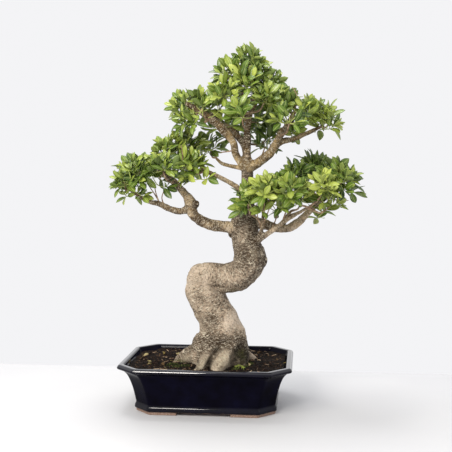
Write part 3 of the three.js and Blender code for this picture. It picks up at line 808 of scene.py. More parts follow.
# Tone patches. The dark ones at the foot above the front root lobes, in their clefts, at the
# hollows of healed cuts and in the creases are painted shade
tone_and_shade += patches([
    ([48, -40, 158], [40, 40, 22], 0.35), ([50, -20, 262], [44, 60, 22], 0.35),
    ([-10, -40, 268], [12, 40, 26], 0.25), ([-40, -20, 143], [34, 40, 16], 0.35),
    ([27, -80, 150], [30, 40, 12], 0.45), ([92, -40, 130], [18, 40, 24], 0.7),
    ([30, -60, 168], [60, 60, 12], 0.25), ([24, -90, 141], [5, 26, 8], 0.6),
    ([16, -94, 126], [5, 26, 8], 0.6), ([10, -98, 112], [5, 26, 9], 0.6),
    ([-16, -92, 128], [6, 26, 16], 0.5), ([31, -86, 150], [6, 26, 8], 0.6),
    ([40, -82, 159], [10, 26, 7], 0.6), ([82, -56, 138], [14, 26, 15], 0.9),
    ([-60, -50, 116], [26, 40, 16], 0.2), ([137, -22, 343], [16, 20, 18], 0.5),
    ([86, -30, 320], [24, 40, 16], 0.25), ([96, -30, 358], [26, 40, 20], 0.2),
    ([-30, -30, 308], [45, 60, 60], -0.28), ([70, -40, 215], [36, 60, 50], -0.25),
    ([85, -45, 401], [14, 20, 16], -0.4), ([-26, -28, 482], [10, 12, 10], 0.3),
    ([0, -20, 430], [40, 30, 16], 0.12), ([92, -16, 590], [8, 8, 7], -0.7),
    ([-70, -25, 445], [70, 40, 40], 0.26), ([91, -4, 625], [16, 40, 45], 0.5),
    ([18, -60, 298], [15, 40, 22], 0.45), ([-20, -60, 300], [11, 40, 34], 0.3),
    ([14, -60, 212], [26, 40, 32], 0.25), ([8, -76, 166], [40, 40, 12], 0.35),
    ([92, -60, 350], [22, 40, 26], 0.25), ([89, -60, 441], [15, 40, 22], -0.3),
    ([60, -40, 226], [14, 60, 40], -0.2), ([200, 0, 440], [60, 80, 40], -0.25),
    ([30, -16, 545], [60, 60, 40], -0.2),
])
tone_and_shade = np.clip(tone_and_shade, 0, 1)
print("mean tone:", tone_and_shade.mean().round(2))

# %% [markdown]
# Wear, damp and shade are painted the same way. The front roots are worn to a cream, moss
# and algae cover the sides near the soil, and painted shade makes the clefts between the
# front roots and the hollow between the front root and the right one nearly black. Each
# is a share from 0 to 1 at every point.

# %% Patches of cream, moss and painted shade
cream = patches([
    ([46, -86, 128], [15, 24, 17], 0.8), ([34, -92, 112], [13, 24, 12], 0.8),
    ([3, -92, 126], [9, 20, 10], 0.75), ([-5, -96, 111], [10, 20, 10], 0.75),
    ([-48, -50, 116], [12, 20, 12], 0.5), ([112, -50, 366], [8, 20, 10], 0.3),
])
cream = np.clip(cream, 0, 1)
damp = np.clip((136 - z) / 40, 0, 1) * (0.5 + 0.5 * noise(skin_points, 12, 16))
moss = patches([
    ([-62, -52, 104], [26, 26, 12], 0.9), ([84, -46, 122], [12, 40, 20], 0.5),
    ([62, -34, 278], [18, 30, 12], 0.5), ([68, -62, 130], [6, 20, 18], 0.45),
    ([112, -40, 440], [20, 30, 30], 0.35), ([82, -54, 134], [13, 24, 14], 0.6),
])
moss = np.clip(moss + 0.3 * damp - 0.6 * cream, 0, 1)
# Painted shade: the clefts between the front root lobes and the hollow between the front root and
# the right one turn nearly black
stain = patches([
    ([82, -56, 138], [16, 34, 18], 1.4), ([84, -56, 114], [20, 34, 18], 1.4),
    ([71, -66, 122], [13, 34, 16], 1.3),
    ([24, -90, 141], [6, 30, 10], 1.2), ([16, -92, 129], [6, 30, 10], 1.4),
    ([10, -96, 117], [6, 30, 10], 1.4), ([31, -86, 150], [7, 30, 8], 0.9),
    ([-8, -88, 140], [6, 30, 10], 0.8), ([-18, -90, 126], [6, 30, 12], 0.9),
])
stain = np.clip(stain, 0, 0.85) * np.clip(0.75 + 0.5 * noise(skin_points, 5, 19), 0, 1)
print("mean cream, moss and stain:", *(v.mean().round(3) for v in (cream, moss, stain)))

# %% [markdown]
# ## Finish: banyan bark
#
# Ficus bark is thin, grey and corky, and never furrows deeply. Its ground colour is a ramp
# from pale to dark, grey on the trunk and a warmer tan on the limbs. The ramp is read at
# the point's own tone and painted shade plus clouds and a fine mottle, so no patch has a
# hard edge.

# %% Ground colour of the bark
bark, add, where = new_finish("corky banyan bark")
fibre = add("Attribute", attribute_name="grain").outputs["Vector"]
age_marks = add("Attribute", attribute_name="age").outputs["Vector"]
aged, mossy, creamy = add("SeparateXYZ", {0: age_marks}).outputs
stretch = add("Mapping", {"Vector": fibre, "Scale": (1.0, 1.0, 2.3)})
# Clouds of tone about 25 mm wide, and a finer mottle of 6 mm
clouds = add("TexNoise", {"Vector": where, "Scale": 40.0, "Detail": 4.0})
mottle = add("TexNoise", {"Vector": stretch, "Scale": 150.0, "Detail": 4.0})
cloudy = add("MapRange", {0: clouds, 1: 0.34, 2: 0.66})
tone_sum = add("Math", {0: cloudy, 1: 0.3, 2: aged}, operation="MULTIPLY_ADD")
tone_all = add("Math", {0: mottle, 1: 0.7, 2: tone_sum}, operation="MULTIPLY_ADD")
tone_fit = add("MapRange", {0: tone_all, 1: 0.4, 2: 1.6})
corky = add(
    "ValToRGB", {0: tone_fit},
    stops=[(0.0, "#c2b09c"), (0.3, "#a3917c"), (0.6, "#796957"), (1.0, "#42362a")],
)
tan_bark = add(
    "ValToRGB", {0: tone_fit},
    stops=[(0.0, "#ccb289"), (0.35, "#9f8860"), (0.65, "#6d583a"), (1.0, "#392a17")],
)
tan_share = add("Attribute", attribute_name="warm").outputs["Fac"]
warmed = add("Mix", {0: tan_share, COLOUR_A: corky, COLOUR_B: tan_bark}, data_type="RGBA")

# %% [markdown]
# Over the ground colour lie dark cracks and brown hollows, and over these the lenticels,
# pale short dashes of cork that lie round the girth. On the real tree the dashes are 2 to
# 4 mm long. They are drawn about 5 mm long here, so that they still show in a picture of
# the whole tree.

# %% Cracks, hollows and lenticels
# Cracks about 2 mm tall and 5 mm wide, more of them where the wood is darker, and fainter
# on the younger limbs
dark_field = add("TexNoise", {
    "Vector": stretch, "Scale": 185.0, "Detail": 3.0, "Roughness": 0.72, "Distortion": 0.6,
})
darker = add("Math", {0: tone_fit, 1: 0.2, 2: dark_field}, operation="MULTIPLY_ADD")
crack_share = add("MapRange", {0: tan_share, 3: 0.8, 4: 0.5})
crack = add("MapRange", {0: darker, 1: 0.585, 2: 0.66, 3: 0.0, 4: crack_share})
cracked = add("Mix", {0: crack, COLOUR_A: warmed, COLOUR_B: linear("#2d2219")}, data_type="RGBA")
# Lenticels: cells 5 mm wide and 2 mm tall, pale near the middle of two in five of them
cells = add("TexVoronoi", {"Vector": stretch, "Scale": 190.0, "Randomness": 1.0})
chosen = add("SeparateColor", {0: cells.outputs["Color"]})
dash = add("MapRange", {0: cells.outputs["Distance"], 1: 0.44, 2: 0.26, 3: 0.0, 4: 1.0})
kept = add("MapRange", {0: chosen, 1: 0.6, 2: 1.0})
round_cork = add("Math", {0: dash, 1: kept}, operation="MULTIPLY")
# Thin pale flecks between them, curled, about 8 mm wide and 2.5 mm tall
thin = add("Mapping", {"Vector": fibre, "Scale": (1.0, 1.0, 3.2)})
flecks = add("TexNoise", {
    "Vector": thin, "Scale": 120.0, "Detail": 3.0, "Roughness": 0.65, "Distortion": 1.2,
})
fleck = add("MapRange", {0: flecks, 1: 0.53, 2: 0.61})
lenticel = add("Math", {0: round_cork, 1: fleck}, operation="MAXIMUM")
# Brown hollows about 12 mm wide, more of them where the wood is darker
blotches = add("TexNoise", {"Vector": where, "Scale": 75.0, "Detail": 3.0, "Roughness": 0.6})
blotch_sum = add("Math", {0: tone_fit, 1: 0.22, 2: blotches}, operation="MULTIPLY_ADD")
blotch = add("MapRange", {0: blotch_sum, 1: 0.66, 2: 0.78, 3: 0.0, 4: 0.6})
blotted = add("Mix", {0: blotch, COLOUR_A: cracked, COLOUR_B: linear("#4b3c2c")}, data_type="RGBA")
pale_share = add("Math", {0: lenticel, 1: 0.74}, operation="MULTIPLY")
dashed = add(
    "Mix", {0: pale_share, COLOUR_A: blotted, COLOUR_B: linear("#dfd2ba")}, data_type="RGBA"
)

# %% [markdown]
# Last come the painted shares: cream cork with a few brown specks on the worn roots, moss
# and algae that the clouds break up, and over all the painted shade that makes the clefts
# nearly black. Lenticels stand up and cracks sink by up to a millimetre, which a bump map
# is enough for.

# %% Cream, moss, painted shade and bumps of the bark
worn = add(
    "ValToRGB", {0: mottle},
    stops=[(0.34, "#6d5f4c"), (0.44, "#a39580"), (0.58, "#c2b69c"), (0.72, "#d5cab0")],
)
with_cream = add("Mix", {0: creamy, COLOUR_A: dashed, COLOUR_B: worn}, data_type="RGBA")
green = add(
    "ValToRGB", {0: mottle}, stops=[(0.3, "#26280f"), (0.5, "#474923"), (0.75, "#7c7b48")]
)
moss_clouds = add("Math", {0: mossy, 1: clouds}, operation="MULTIPLY")
moss_share = add("MapRange", {0: moss_clouds, 1: 0.12, 2: 0.5, 3: 0.0, 4: 0.85})
with_moss = add("Mix", {0: moss_share, COLOUR_A: with_cream, COLOUR_B: green}, data_type="RGBA")
# Painted shade: a near-black brown over the clefts between the front roots and the hollow beside
# them
stain_share = add("Attribute", attribute_name="stain").outputs["Fac"]
stained = add(
    "Mix", {0: stain_share, COLOUR_A: with_moss, COLOUR_B: linear("#1d170e")}, data_type="RGBA"
)
cork_height = add("Math", {0: lenticel, 1: crack}, operation="SUBTRACT")
bumps = add("Math", {0: mottle, 1: cork_height}, operation="ADD")
raised = add("Bump", {"Strength": 0.9, "Distance": 0.001, "Height": bumps})
shader = add("BsdfPrincipled", {
    "Base Color": stained, "Roughness": 0.82, "IOR": 1.4, "Specular IOR Level": 0.25,
    "Normal": raised,
})
add("OutputMaterial", {"Surface": shader})

add_piece(
    "bark_wood", (skin_points, [skin_quads]), bark, "bark", ["trunk"],
    grain=grain * MM, age=np.stack([tone_and_shade, moss, cream], -1), warm=warm, stain=stain,
)

# %% [markdown]
# ## Where the sprays are
#
# Each spray node's box gives the middle of its bunch. Its twig leaves the nearest limb
# station, and sooner one below the spray, and it points up and away from there, by the
# same rule as in the solids.

# %% Sprays from the frame
spray_names = [name.removeprefix("spray_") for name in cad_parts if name.startswith("spray_")]
spray_boxes = np.array([[*map(np.array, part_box("spray_" + name))] for name in spray_names])
middles = unplaced(spray_boxes.mean(1))
seats = np.concatenate([np.array(route, float)[1:] for route in LIMBS.values()])
seat_ways = np.concatenate([
    unit(np.gradient(np.array(route, float)[:, :3], axis=0))[1:] for route in LIMBS.values()
])


def seat_of(middle):
    """Limb station with the least distance plus its height above the spray's foot."""
    away = np.linalg.norm(seats[:, :3] - middle, axis=1)
    return int((away + np.maximum(0, seats[:, 2] + 20 - middle[2])).argmin())


spray_seats = [seat_of(middle) for middle in middles]
spray_ways = unit(0.7 * unit(middles - seats[spray_seats, :3]) + 0.5 * UP)
print("sprays:", len(spray_names))

# %% [markdown]
# ## Twigs
#
# A woody twig leaves each seat along its limb, curves up and ends in the middle of its
# spray. Twigs are too thin for the voxel skin, so they are plain tubes whose roots are
# sunk in the limb. Each follows a cubic curve that two handles bend.

# %% Woody twigs
TWIG_LENGTH = 24
TWIG_STEPS = 14
TWIG_TIP = 1.2


def handle_curve(a, b, c, d, t):
    """From a to d with handles b and c: (1-t)^3 a + 3t(1-t)^2 b + 3t^2(1-t) c + t^3 d."""
    t = t[:, None]
    return (1 - t) ** 3 * a + 3 * t * (1 - t) ** 2 * b + 3 * t**2 * (1 - t) * c + t**3 * d


def round_tube(path, radii, sides):
    """A plain closed tube of given radii along a path."""
    _, side, across = frames_along(path)
    angle = np.linspace(0, 2 * np.pi, sides, endpoint=False)[:, None]
    spread = np.cos(angle) * side[:, None] + np.sin(angle) * across[:, None]
    return closed_tube(path[:, None] + np.reshape(radii, (-1, 1, 1)) * spread)


twig_tubes = []
for middle, seat, way in zip(middles, spray_seats, spray_ways):
    root, out, radius = seats[seat, :3], seat_ways[seat], seats[seat, 3]
    foot = middle - way * TWIG_LENGTH
    span = np.linalg.norm(foot - root)
    t = np.linspace(0, 1, TWIG_STEPS)
    path = handle_curve(root, root + out * span * 0.15, foot - way * span * 0.3, foot, t)
    path = np.concatenate([path, foot + way * TWIG_LENGTH * np.array([[0.5], [1.0]])])
    path[1:-1] += 0.8 * np.stack([noise(path[1:-1], 14, seed) for seed in (21, 22, 23)], -1)
    ends = [0, TWIG_STEPS - 1, TWIG_STEPS + 1]
    radii = np.interp(np.arange(len(path)), ends, [min(radius * 0.75, 3.8), 1.9, TWIG_TIP])
    radii *= 1 + 0.1 * noise(path, 7, 24)
    twig_tubes.append(round_tube(path, radii, 9))
# Further twigs, bare or with a tuft beside a spray, as routes of x, y, z and radius
FURTHER_TWIGS = [
    [[-110, -22, 476, 1.8], [-124, -22, 500, 1.4], [-138, -22, 520, 1.0]],
    [[-112, -22, 477, 1.7], [-121, -24, 503, 1.3], [-126, -22, 529, 1.0]],
    [[-100, -21, 471, 1.7], [-107, -24, 492, 1.3], [-100, -22, 515, 1.0]],
    [[70, -2, 606, 2.2], [52, -12, 601, 1.7], [31, -16, 598, 1.2]],
    [[203, -22, 698, 1.7], [207, -23, 722, 1.4], [202, -24, 737, 1.1], [196, -24, 746, 0.9]],
    [[130, -42, 430, 1.8], [142, -60, 458, 1.4], [152, -76, 484, 1.1]],
    [[127, -38, 424, 1.8], [120, -62, 450, 1.4], [117, -78, 478, 1.1]],
    [[28, -13, 657, 2.0], [29, 0, 653, 1.6], [30, 9, 651, 1.2]],
    [[66, 22, 644, 2.2], [68, 42, 650, 1.7], [67, 58, 652, 1.2]],
    [[96, -6, 668, 2.2], [106, 20, 670, 1.7], [113, 46, 671, 1.2]],
    [[124, 2, 584, 2.4], [128, 20, 600, 1.7], [132, 36, 614, 1.2]],
    [[147, -38, 415, 1.9], [158, -32, 438, 1.5], [165, -30, 462, 1.2]],
    [[262, -12, 482, 1.9], [264, -11, 466, 1.5], [266, -10, 454, 1.2]],
    [[280, -10, 496, 1.8], [304, -14, 486, 1.3], [326, -18, 487, 0.8]],
    [[213, -48, 460, 2.2], [236, -46, 474, 1.7], [262, -42, 494, 1.3]],
    [[176, -44, 440, 2.0], [186, -62, 470, 1.5], [192, -72, 500, 1.2]],
    [[-21, -19, 575, 2.0], [-49, -58, 573, 1.6], [-50, -76, 595, 1.2], [-52, -82, 612, 0.9]],
    [[131, -48, 452, 1.6], [126, -70, 478, 1.2], [118, -84, 500, 0.9]],
    [[132, -50, 456, 1.6], [136, -74, 480, 1.2], [134, -90, 502, 0.9]],
    [[134, -54, 462, 1.6], [146, -76, 486, 1.2], [150, -90, 506, 0.9]],
    [[136, -56, 466, 1.5], [156, -74, 488, 1.2], [166, -88, 508, 0.9]],
]
for route in FURTHER_TWIGS:
    line = smooth_line(route, 5)
    twig_tubes.append(round_tube(line[:, :3], line[:, 3], 7))
twig_shape = together(twig_tubes)
print("twig points:", len(twig_shape[0]))

# %% [markdown]
# ## Finish: young twig bark
#
# Twigs of one or two years are smooth and tan, with brown blotches. Their scars of dropped
# leaves are too small to show, so fine specks stand for them.

# %% Twig bark
twig_bark, add, where = new_finish("young tan twig bark")
# Blotches about 8 mm long, and specks of 2 mm
blotch = add("TexNoise", {"Vector": where, "Scale": 120.0, "Detail": 4.0})
tan = add(
    "ValToRGB", {0: blotch}, stops=[(0.34, "#5f4a3a"), (0.5, "#94795f"), (0.68, "#bda88a")]
)
specks = add("TexNoise", {"Vector": where, "Scale": 500.0, "Detail": 2.0})
raised = add("Bump", {"Strength": 0.5, "Distance": 0.0003, "Height": specks})
shader = add(
    "BsdfPrincipled", {"Base Color": tan, "Roughness": 0.65, "IOR": 1.4, "Normal": raised}
)
add("OutputMaterial", {"Surface": shader})
add_piece("woody_twigs", twig_shape, twig_bark, "bark", ["trunk"])

# %% [markdown]
# ## One leaf blade
#
# A leaf of this fig is 30 to 40 mm long, oval with a short point, thick, folded a little
# along its midrib and bent down towards its tip, on a short stalk. It is a closed grid:
# eight rows along it and five points across, over the same grid again without its rim for
# the underside, fifty-six faces in all. The leaves of a spray are worked out in one go.

# %% Leaf blades
ROWS_ALONG = np.array([0, 0.12, 0.21, 0.39, 0.6, 0.79, 0.92, 1.0])
ROW_WIDTH = np.array([0.07, 0.07, 0.46, 0.86, 1.0, 0.8, 0.4, 0.03])
ACROSS = np.array([-1, -0.5, 0, 0.5, 1.0])
BLADE_THICKNESS = 0.6
UPPER_GRID = len(ROWS_ALONG), len(ACROSS)
LOWER_GRID = len(ROWS_ALONG) - 2, len(ACROSS) - 2
UPPER_POINTS, LOWER_POINTS = np.prod(UPPER_GRID), np.prod(LOWER_GRID)
BLADE_POINTS = UPPER_POINTS + LOWER_POINTS


def leaf_blades(root, along, face, length, half_width, fold, droop):
    """Closed blades. At share v along and u across: root + L v along + W w(v) u across +
    (fold W w(v) |u| - droop L v^2) face, and the underside one thickness lower."""
    across = np.cross(face, along)
    v, u = ROWS_ALONG[:, None], ACROSS[None]
    size = (len(root), 1, 1)
    length, half_width = length.reshape(size), half_width.reshape(size)
    fold, droop = fold.reshape(size), droop.reshape(size)
    wide = half_width * ROW_WIDTH[:, None]
    lift = fold * wide * np.abs(u) - droop * length * v**2
    shift = wide * u
    run = length * v + 0 * u
    axis = (slice(None), None, None)
    top = (root[axis] + run[..., None] * along[axis] + shift[..., None] * across[axis]
           + lift[..., None] * face[axis])
    under = top[:, 1:-1, 1:-1] - BLADE_THICKNESS * face[axis]
    count = len(root)
    points = np.concatenate([top.reshape(count, -1, 3), under.reshape(count, -1, 3)], 1)
    upper = np.arange(UPPER_POINTS).reshape(UPPER_GRID)
    lower = upper.copy()
    lower[1:-1, 1:-1] = UPPER_POINTS + np.arange(LOWER_POINTS).reshape(LOWER_GRID)
    quads = [np.stack([g[:-1, :-1], g[1:, :-1], g[1:, 1:], g[:-1, 1:]], -1).reshape(-1, 4)
             for g in (upper, lower)]
    faces = np.concatenate([quads[0], quads[1][:, ::-1]])
    faces = (faces[None] + BLADE_POINTS * np.arange(count)[:, None, None]).reshape(-1, 4)
    over = np.stack(np.broadcast_arrays(u, v, 0.0), -1).reshape(-1, 3)
    below = np.stack(np.broadcast_arrays(u[:, 1:-1], v[1:-1], 1.0), -1).reshape(-1, 3)
    marks = np.tile(np.concatenate([over, below]), (count, 1))
    return points.reshape(-1, 3), faces, marks


# %% [markdown]
# ## Growing a spray
#
# A spray is a handful of bare young twigs that fan out and up from the end of a woody one.
# Each carries its leaves crowded round its tip, as this fig does: about 137 degrees round
# from the last, the golden angle, wide open at the foot of the tuft and steep at its tip,
# where they are young and small. A leaf turns its face up and out of the crown, and a
# little to the window at the front.

# %% Twigs and leaves of one spray
GOLDEN_ANGLE = np.radians(137.5)
TUFTS = 8
LEAVES_PER_TUFT = 7
# Shoots start this far under the spray's middle, and reach this far out of there. The
# cosine of their lean from the spray's way runs from the first number to the last.
SHOOT_FOOT = 8
SHOOT_REACH = 16, 27
SHOOT_LEAN = 0.95, -0.35
# Leaves stand on a shoot from this share of it on, and open by these degrees, first and
# last. Past the next share they are young, and this much smaller and lighter.
LEAFY_FROM = 0.55
LEAF_OPENING = 72, 20
YOUNG_FROM = 0.9
YOUNG_SIZE, YOUNG_TINT = 0.72, 0.14
CROWN_AXIS = np.array([70.0, 0.0])
WINDOW_WAY = np.array([-0.3, -0.95, 0.2])


def leaning(pole, tilt, turn):
    """Directions that lean from a pole by a tilt, turned about the pole by a turn."""
    helper = np.where(np.abs(pole[..., 2:3]) < 0.9, UP, np.array([1.0, 0, 0]))
    side = unit(np.cross(helper, pole))
    across = np.cross(pole, side)
    tilt, turn = np.asarray(tilt)[..., None], np.asarray(turn)[..., None]
    return np.cos(tilt) * pole + np.sin(tilt) * (np.cos(turn) * side + np.sin(turn) * across)


def grow(middle, way, fresh, chance, tufts=TUFTS):
    """Twig tubes and the leaves of one spray, as columns of leaf values."""
    height = np.linspace(*SHOOT_LEAN, tufts)
    turn = np.arange(tufts) * GOLDEN_ANGLE + chance.uniform(0, 6)
    heading = leaning(np.tile(way, (tufts, 1)), np.arccos(height), turn)
    reach = chance.uniform(*SHOOT_REACH, tufts)
    foot = middle - SHOOT_FOOT * way
    out = np.append(unit(middle[:2] - CROWN_AXIS), 0.0)
    tubes, leaves = [], []
    t = np.linspace(0, 1, 6)
    share = np.linspace(LEAFY_FROM, 1.0, LEAVES_PER_TUFT)
    young = share > YOUNG_FROM
    for start_way, length in zip(heading, reach):
        end_way = unit(start_way + 0.75 * UP)
        tip = foot + unit(start_way + 0.3 * UP) * (length + 6)
        step = start_way * length
        path = handle_curve(foot, foot + 0.4 * step, foot + 0.8 * step, tip, t)
        tubes.append(round_tube(path, np.linspace(1.3, 0.7, 6), 5))
        root = np.stack([np.interp(share, t, path[:, axis]) for axis in range(3)], -1)
        tuft_way = np.tile(end_way, (LEAVES_PER_TUFT, 1))
        opening = np.radians(np.interp(share, [LEAFY_FROM, 1], LEAF_OPENING))
        opening = opening + chance.normal(0, 0.14, LEAVES_PER_TUFT)
        round_turn = np.arange(LEAVES_PER_TUFT) * GOLDEN_ANGLE + chance.uniform(0, 6)
        along = leaning(tuft_way, opening, round_turn)
        light = 0.5 * UP + 0.45 * out + 0.3 * end_way + 0.4 * WINDOW_WAY
        light = light + chance.normal(0, 0.4, (LEAVES_PER_TUFT, 3))
        face = unit(light - along * (light * along).sum(1, keepdims=True))
        size = chance.uniform(0.8, 1.1, LEAVES_PER_TUFT) * np.where(young, YOUNG_SIZE, 1)
        tint = chance.normal(0.35, 0.13, LEAVES_PER_TUFT) + YOUNG_TINT * young
        tint = np.minimum(tint, 0.62) + fresh
        leaves.append(np.column_stack([root, along, face, size, tint]))
    return tubes, np.concatenate(leaves)


# %% [markdown]
# No two sprays are alike. Some are in fresh leaf, a light yellow-green, and some in old,
# dark leaf, for which the number is a minus. Small tufts stand beside some of them, given
# by how far from the spray's middle they are and how many shoots they have. A few sprays
# have fewer shoots, or lean a few millimetres off the middle of their solid.

# %% Freshness, side tufts and thin sprays
FRESH = {
    "left_01": 0.06, "left_03": -0.04, "left_04": -0.06, "left_05": 0.14, "left_06": -0.08,
    "left_07": 0.06, "left_08": 0.08, "left_09": 0.1, "left_10": -0.06, "crown_02": -0.03,
    "crown_04": 0.08, "crown_05": -0.12, "crown_07": 0.08, "crown_17": 0.08, "crown_19": 0.14,
    "crown_20": -0.12, "right_01": -0.06, "right_02": 0.17, "right_03": 0.06, "right_04": -0.02,
    "right_05": -0.14, "right_06": -0.16, "right_07": 0.32, "right_08": -0.15, "right_10": -0.1,
    "right_11": 0.14,
}
SIDE_TUFTS = {
    "left_02": [[0, 36, -26, 3], [24, 16, -18, 3]],
    "left_05": [[20, 5, 20, 2]],
    "left_06": [[-25, 60, -32, 2]],
    "left_08": [[22, 4, -24, 3]],
    "crown_05": [[-13, 0, -98, 4], [-11, 10, -84, 3]],
    "crown_07": [[-16, 8, -32, 3]],
    "crown_08": [[-4, 24, -30, 3]],
    "crown_10": [[8, 6, 10, 3]],
    "crown_11": [[-4, 10, 24, 4], [22, 6, 24, 3]],
    "crown_12": [[60, 68, -14, 3]],
    "crown_17": [[-30, 54, -36, 4], [-6, 30, 8, 2]],
    "crown_19": [[-8, 4, -14, 3]],
    "crown_20": [[-20, -46, 25, 4], [-1, -56, -30, 3]],
    "right_01": [[-14, 10, 14, 3], [34, 0, 0, 3], [58, -10, 6, 3], [67, 32, -10, 2]],
    "right_06": [[-8, 0, 4, 3]],
    "right_11": [[-22, 36, -28, 2]],
}
FEWER_TUFTS = {"right_11": 4, "right_01": 4, "crown_19": 6}
LEANS = {
    "left_02": [4, 0, 0], "left_10": [-12, 0, -4], "crown_03": [-6, 0, 0], "crown_06": [-7, 0, 0],
    "crown_09": [-5, 0, 0], "crown_10": [-7, 0, 0], "crown_11": [0, 0, -6], "crown_17": [0, 0, 2],
    "crown_18": [0, 0, 8], "crown_19": [-12, 0, -4], "right_01": [6, 0, 0],
    "right_02": [2, 0, -12], "right_03": [0, 0, -8], "right_05": [0, 0, -8], "right_06": [0, 0, 2],
    "right_08": [0, 0, -6], "right_09": [0, 0, 4], "right_10": [0, 0, 4], "right_11": [0, 0, 8],
}
# Sprays with larger or smaller leaves than the rest
LEAF_SCALES = {
    "left_02": 0.9, "crown_01": 0.92, "crown_18": 0.9, "right_05": 1.15, "right_06": 1.2,
    "right_08": 1.1,
}
LEAF_LENGTH = 36
LEAF_HALF_WIDTH = 8.0

# %% [markdown]
# The main limbs of the crown can be followed a long way up from the front, because the
# leaves before them are plucked. So a leaf is left off where it would hide such a stretch
# of limb from a person who stands in front of the tree. Leaves and limb are compared by
# where their lines to that person's eye cross the plane y = 0.

# %% Cleared limbs
EYE = np.array([224.0, -1840.0, 530.0])
# Each limb with the first and the last station of its cleared stretch
CLEARED = [("high left", 2, 7), ("leader", 0, 4), ("high right", 1, 5), ("high right reach", 1, 4)]
CLEAR_ROOM = 5.0


def seen_place(points):
    """Where the line from the eye E through P meets y = 0: E + (P - E) Ey / (Ey - Py)."""
    share = EYE[1] / (EYE[1] - points[:, 1])
    return (EYE + (points - EYE) * share[:, None])[:, [0, 2]]


cleared = []
for limb, first, last in CLEARED:
    line = smooth_line(LIMBS[limb], 3)
    from_station = np.linspace(0, len(LIMBS[limb]) - 1, len(line))
    cleared.append(line[(from_station >= first) & (from_station <= last)])
cleared = np.concatenate(cleared)


def hides_limb(leaves):
    """True where a leaf's line from root to tip comes before a cleared stretch."""
    hidden = np.zeros(len(leaves), bool)
    for share in (0.2, 0.5, 0.8):
        point = leaves[:, :3] + leaves[:, 3:6] * (LEAF_LENGTH * share)
        away = seen_place(point)[:, None] - seen_place(cleared[:, :3])[None]
        near_line = np.linalg.norm(away, axis=2) < cleared[:, 3] + CLEAR_ROOM
        before = point[:, 1, None] < cleared[None, :, 1]
        hidden |= (near_line & before).any(1)
    return hidden


# %% [markdown]
# Now each spray is grown with its tufts. It draws from a seed of its own, so a change to
# one spray leaves the others as they were. A leaf is left off where its blade would touch
# wood, and where it would hide a cleared limb.

# %% All sprays
LEAF_SEED = 500
# Least distances from the wood's middle, in radii, of a leaf's blade and of its tip
BLADE_CLEAR, TIP_CLEAR = 1.15, 1.1
grown = {}
for number, (name, middle, way) in enumerate(zip(spray_names, middles, spray_ways)):
    chance = np.random.default_rng(LEAF_SEED + number)
    fresh = FRESH.get(name, 0.0)
    middle = middle + LEANS.get(name, 0)
    tubes, leaves = grow(middle, way, fresh, chance, FEWER_TUFTS.get(name, TUFTS))
    for *shift, tufts in SIDE_TUFTS.get(name, []):
        more_tubes, more = grow(middle + shift, unit(way + 0.3 * UP), fresh, chance, tufts)
        tubes += more_tubes
        leaves = np.concatenate([leaves, more])
    _, share = nearest_ring(leaves[:, :3] + leaves[:, 3:6] * (LEAF_LENGTH * 0.6))
    _, tip_share = nearest_ring(leaves[:, :3] + leaves[:, 3:6] * LEAF_LENGTH)
    leaves[:, 9] *= LEAF_SCALES.get(name, 1.0)
    clear = (share > BLADE_CLEAR) & (tip_share > TIP_CLEAR)
    leaves = leaves[clear & ~hides_limb(leaves)]
    grown[name] = tubes, leaves
print("leaves:", sum(len(leaves) for _, leaves in grown.values()))

# %% [markdown]
# ## Finish: fig leaf
#
# The leaf is leathery, with a waxy skin that has a clear highlight. Old leaves are deep
# green and new ones yellow-green, which each leaf's tint sets. The tint and the blade's
# own coordinates come as attributes: how far across it a point lies, how far along, and
# whether it is on the underside.

# %% Colour of the leaf
leaf_skin, add, where = new_finish("waxy fig leaf")
blade_spot = add("Attribute", attribute_name="blade").outputs["Vector"]
crosswise, lengthwise, below = add("SeparateXYZ", {0: blade_spot}).outputs
tint = add("Attribute", attribute_name="tint").outputs["Fac"]
# Each leaf's colour drifts a little across it, in clouds of 12 mm
drift = add("TexNoise", {"Vector": where, "Scale": 85.0, "Detail": 2.0})
tinted = add("Math", {0: drift, 1: 0.3, 2: tint}, operation="MULTIPLY_ADD")
ripe = add(
    "ValToRGB", {0: tinted},
    stops=[(0.15, "#25430c"), (0.46, "#567021"), (0.74, "#909e41"), (1.0, "#b9c35c")],
)

# %% [markdown]
# The midrib is pale and the side veins are faint, about 3 mm apart. A sine wave along the
# blade draws them. The underside is paler and duller than the upper face.

# %% Veins and underside of the leaf
away = add("Math", {0: crosswise}, operation="ABSOLUTE")
rib = add("MapRange", {0: away, 1: 0.05, 2: 0.16, 3: 0.55, 4: 0.0})
# Thirteen waves along the blade, which slant forwards from the midrib
slant = add("Math", {0: away, 1: -0.22, 2: lengthwise}, operation="MULTIPLY_ADD")
turns = add("Math", {0: slant, 1: 82.0}, operation="MULTIPLY")
wave = add("Math", {0: turns}, operation="SINE")
vein = add("MapRange", {0: wave, 1: 0.72, 2: 1.0, 3: 0.0, 4: 0.3})
lines = add("Math", {0: rib, 1: vein}, operation="MAXIMUM")
veined = add("Mix", {0: lines, COLOUR_A: ripe, COLOUR_B: linear("#b0b972")}, data_type="RGBA")
pale = add("Mix", {0: 0.5, COLOUR_A: ripe, COLOUR_B: linear("#8c9a62")}, data_type="RGBA")
colour = add("Mix", {0: below, COLOUR_A: veined, COLOUR_B: pale}, data_type="RGBA")
rough = add("MapRange", {0: below, 3: 0.27, 4: 0.6})
# Midrib and veins are sunk in the upper face by a fifth of a millimetre
sunk = add("Bump", {"Strength": 0.6, "Distance": 0.0002, "Height": lines}, invert=True)
shader = add("BsdfPrincipled", {
    "Base Color": colour, "Roughness": rough, "Specular IOR Level": 0.36, "Normal": sunk,
})
add("OutputMaterial", {"Surface": shader})

# %% [markdown]
# Leaves and shoots of a spray are one piece with one finish: a shoot carries the mark of a
# midrib, so it takes the pale green of a rib.

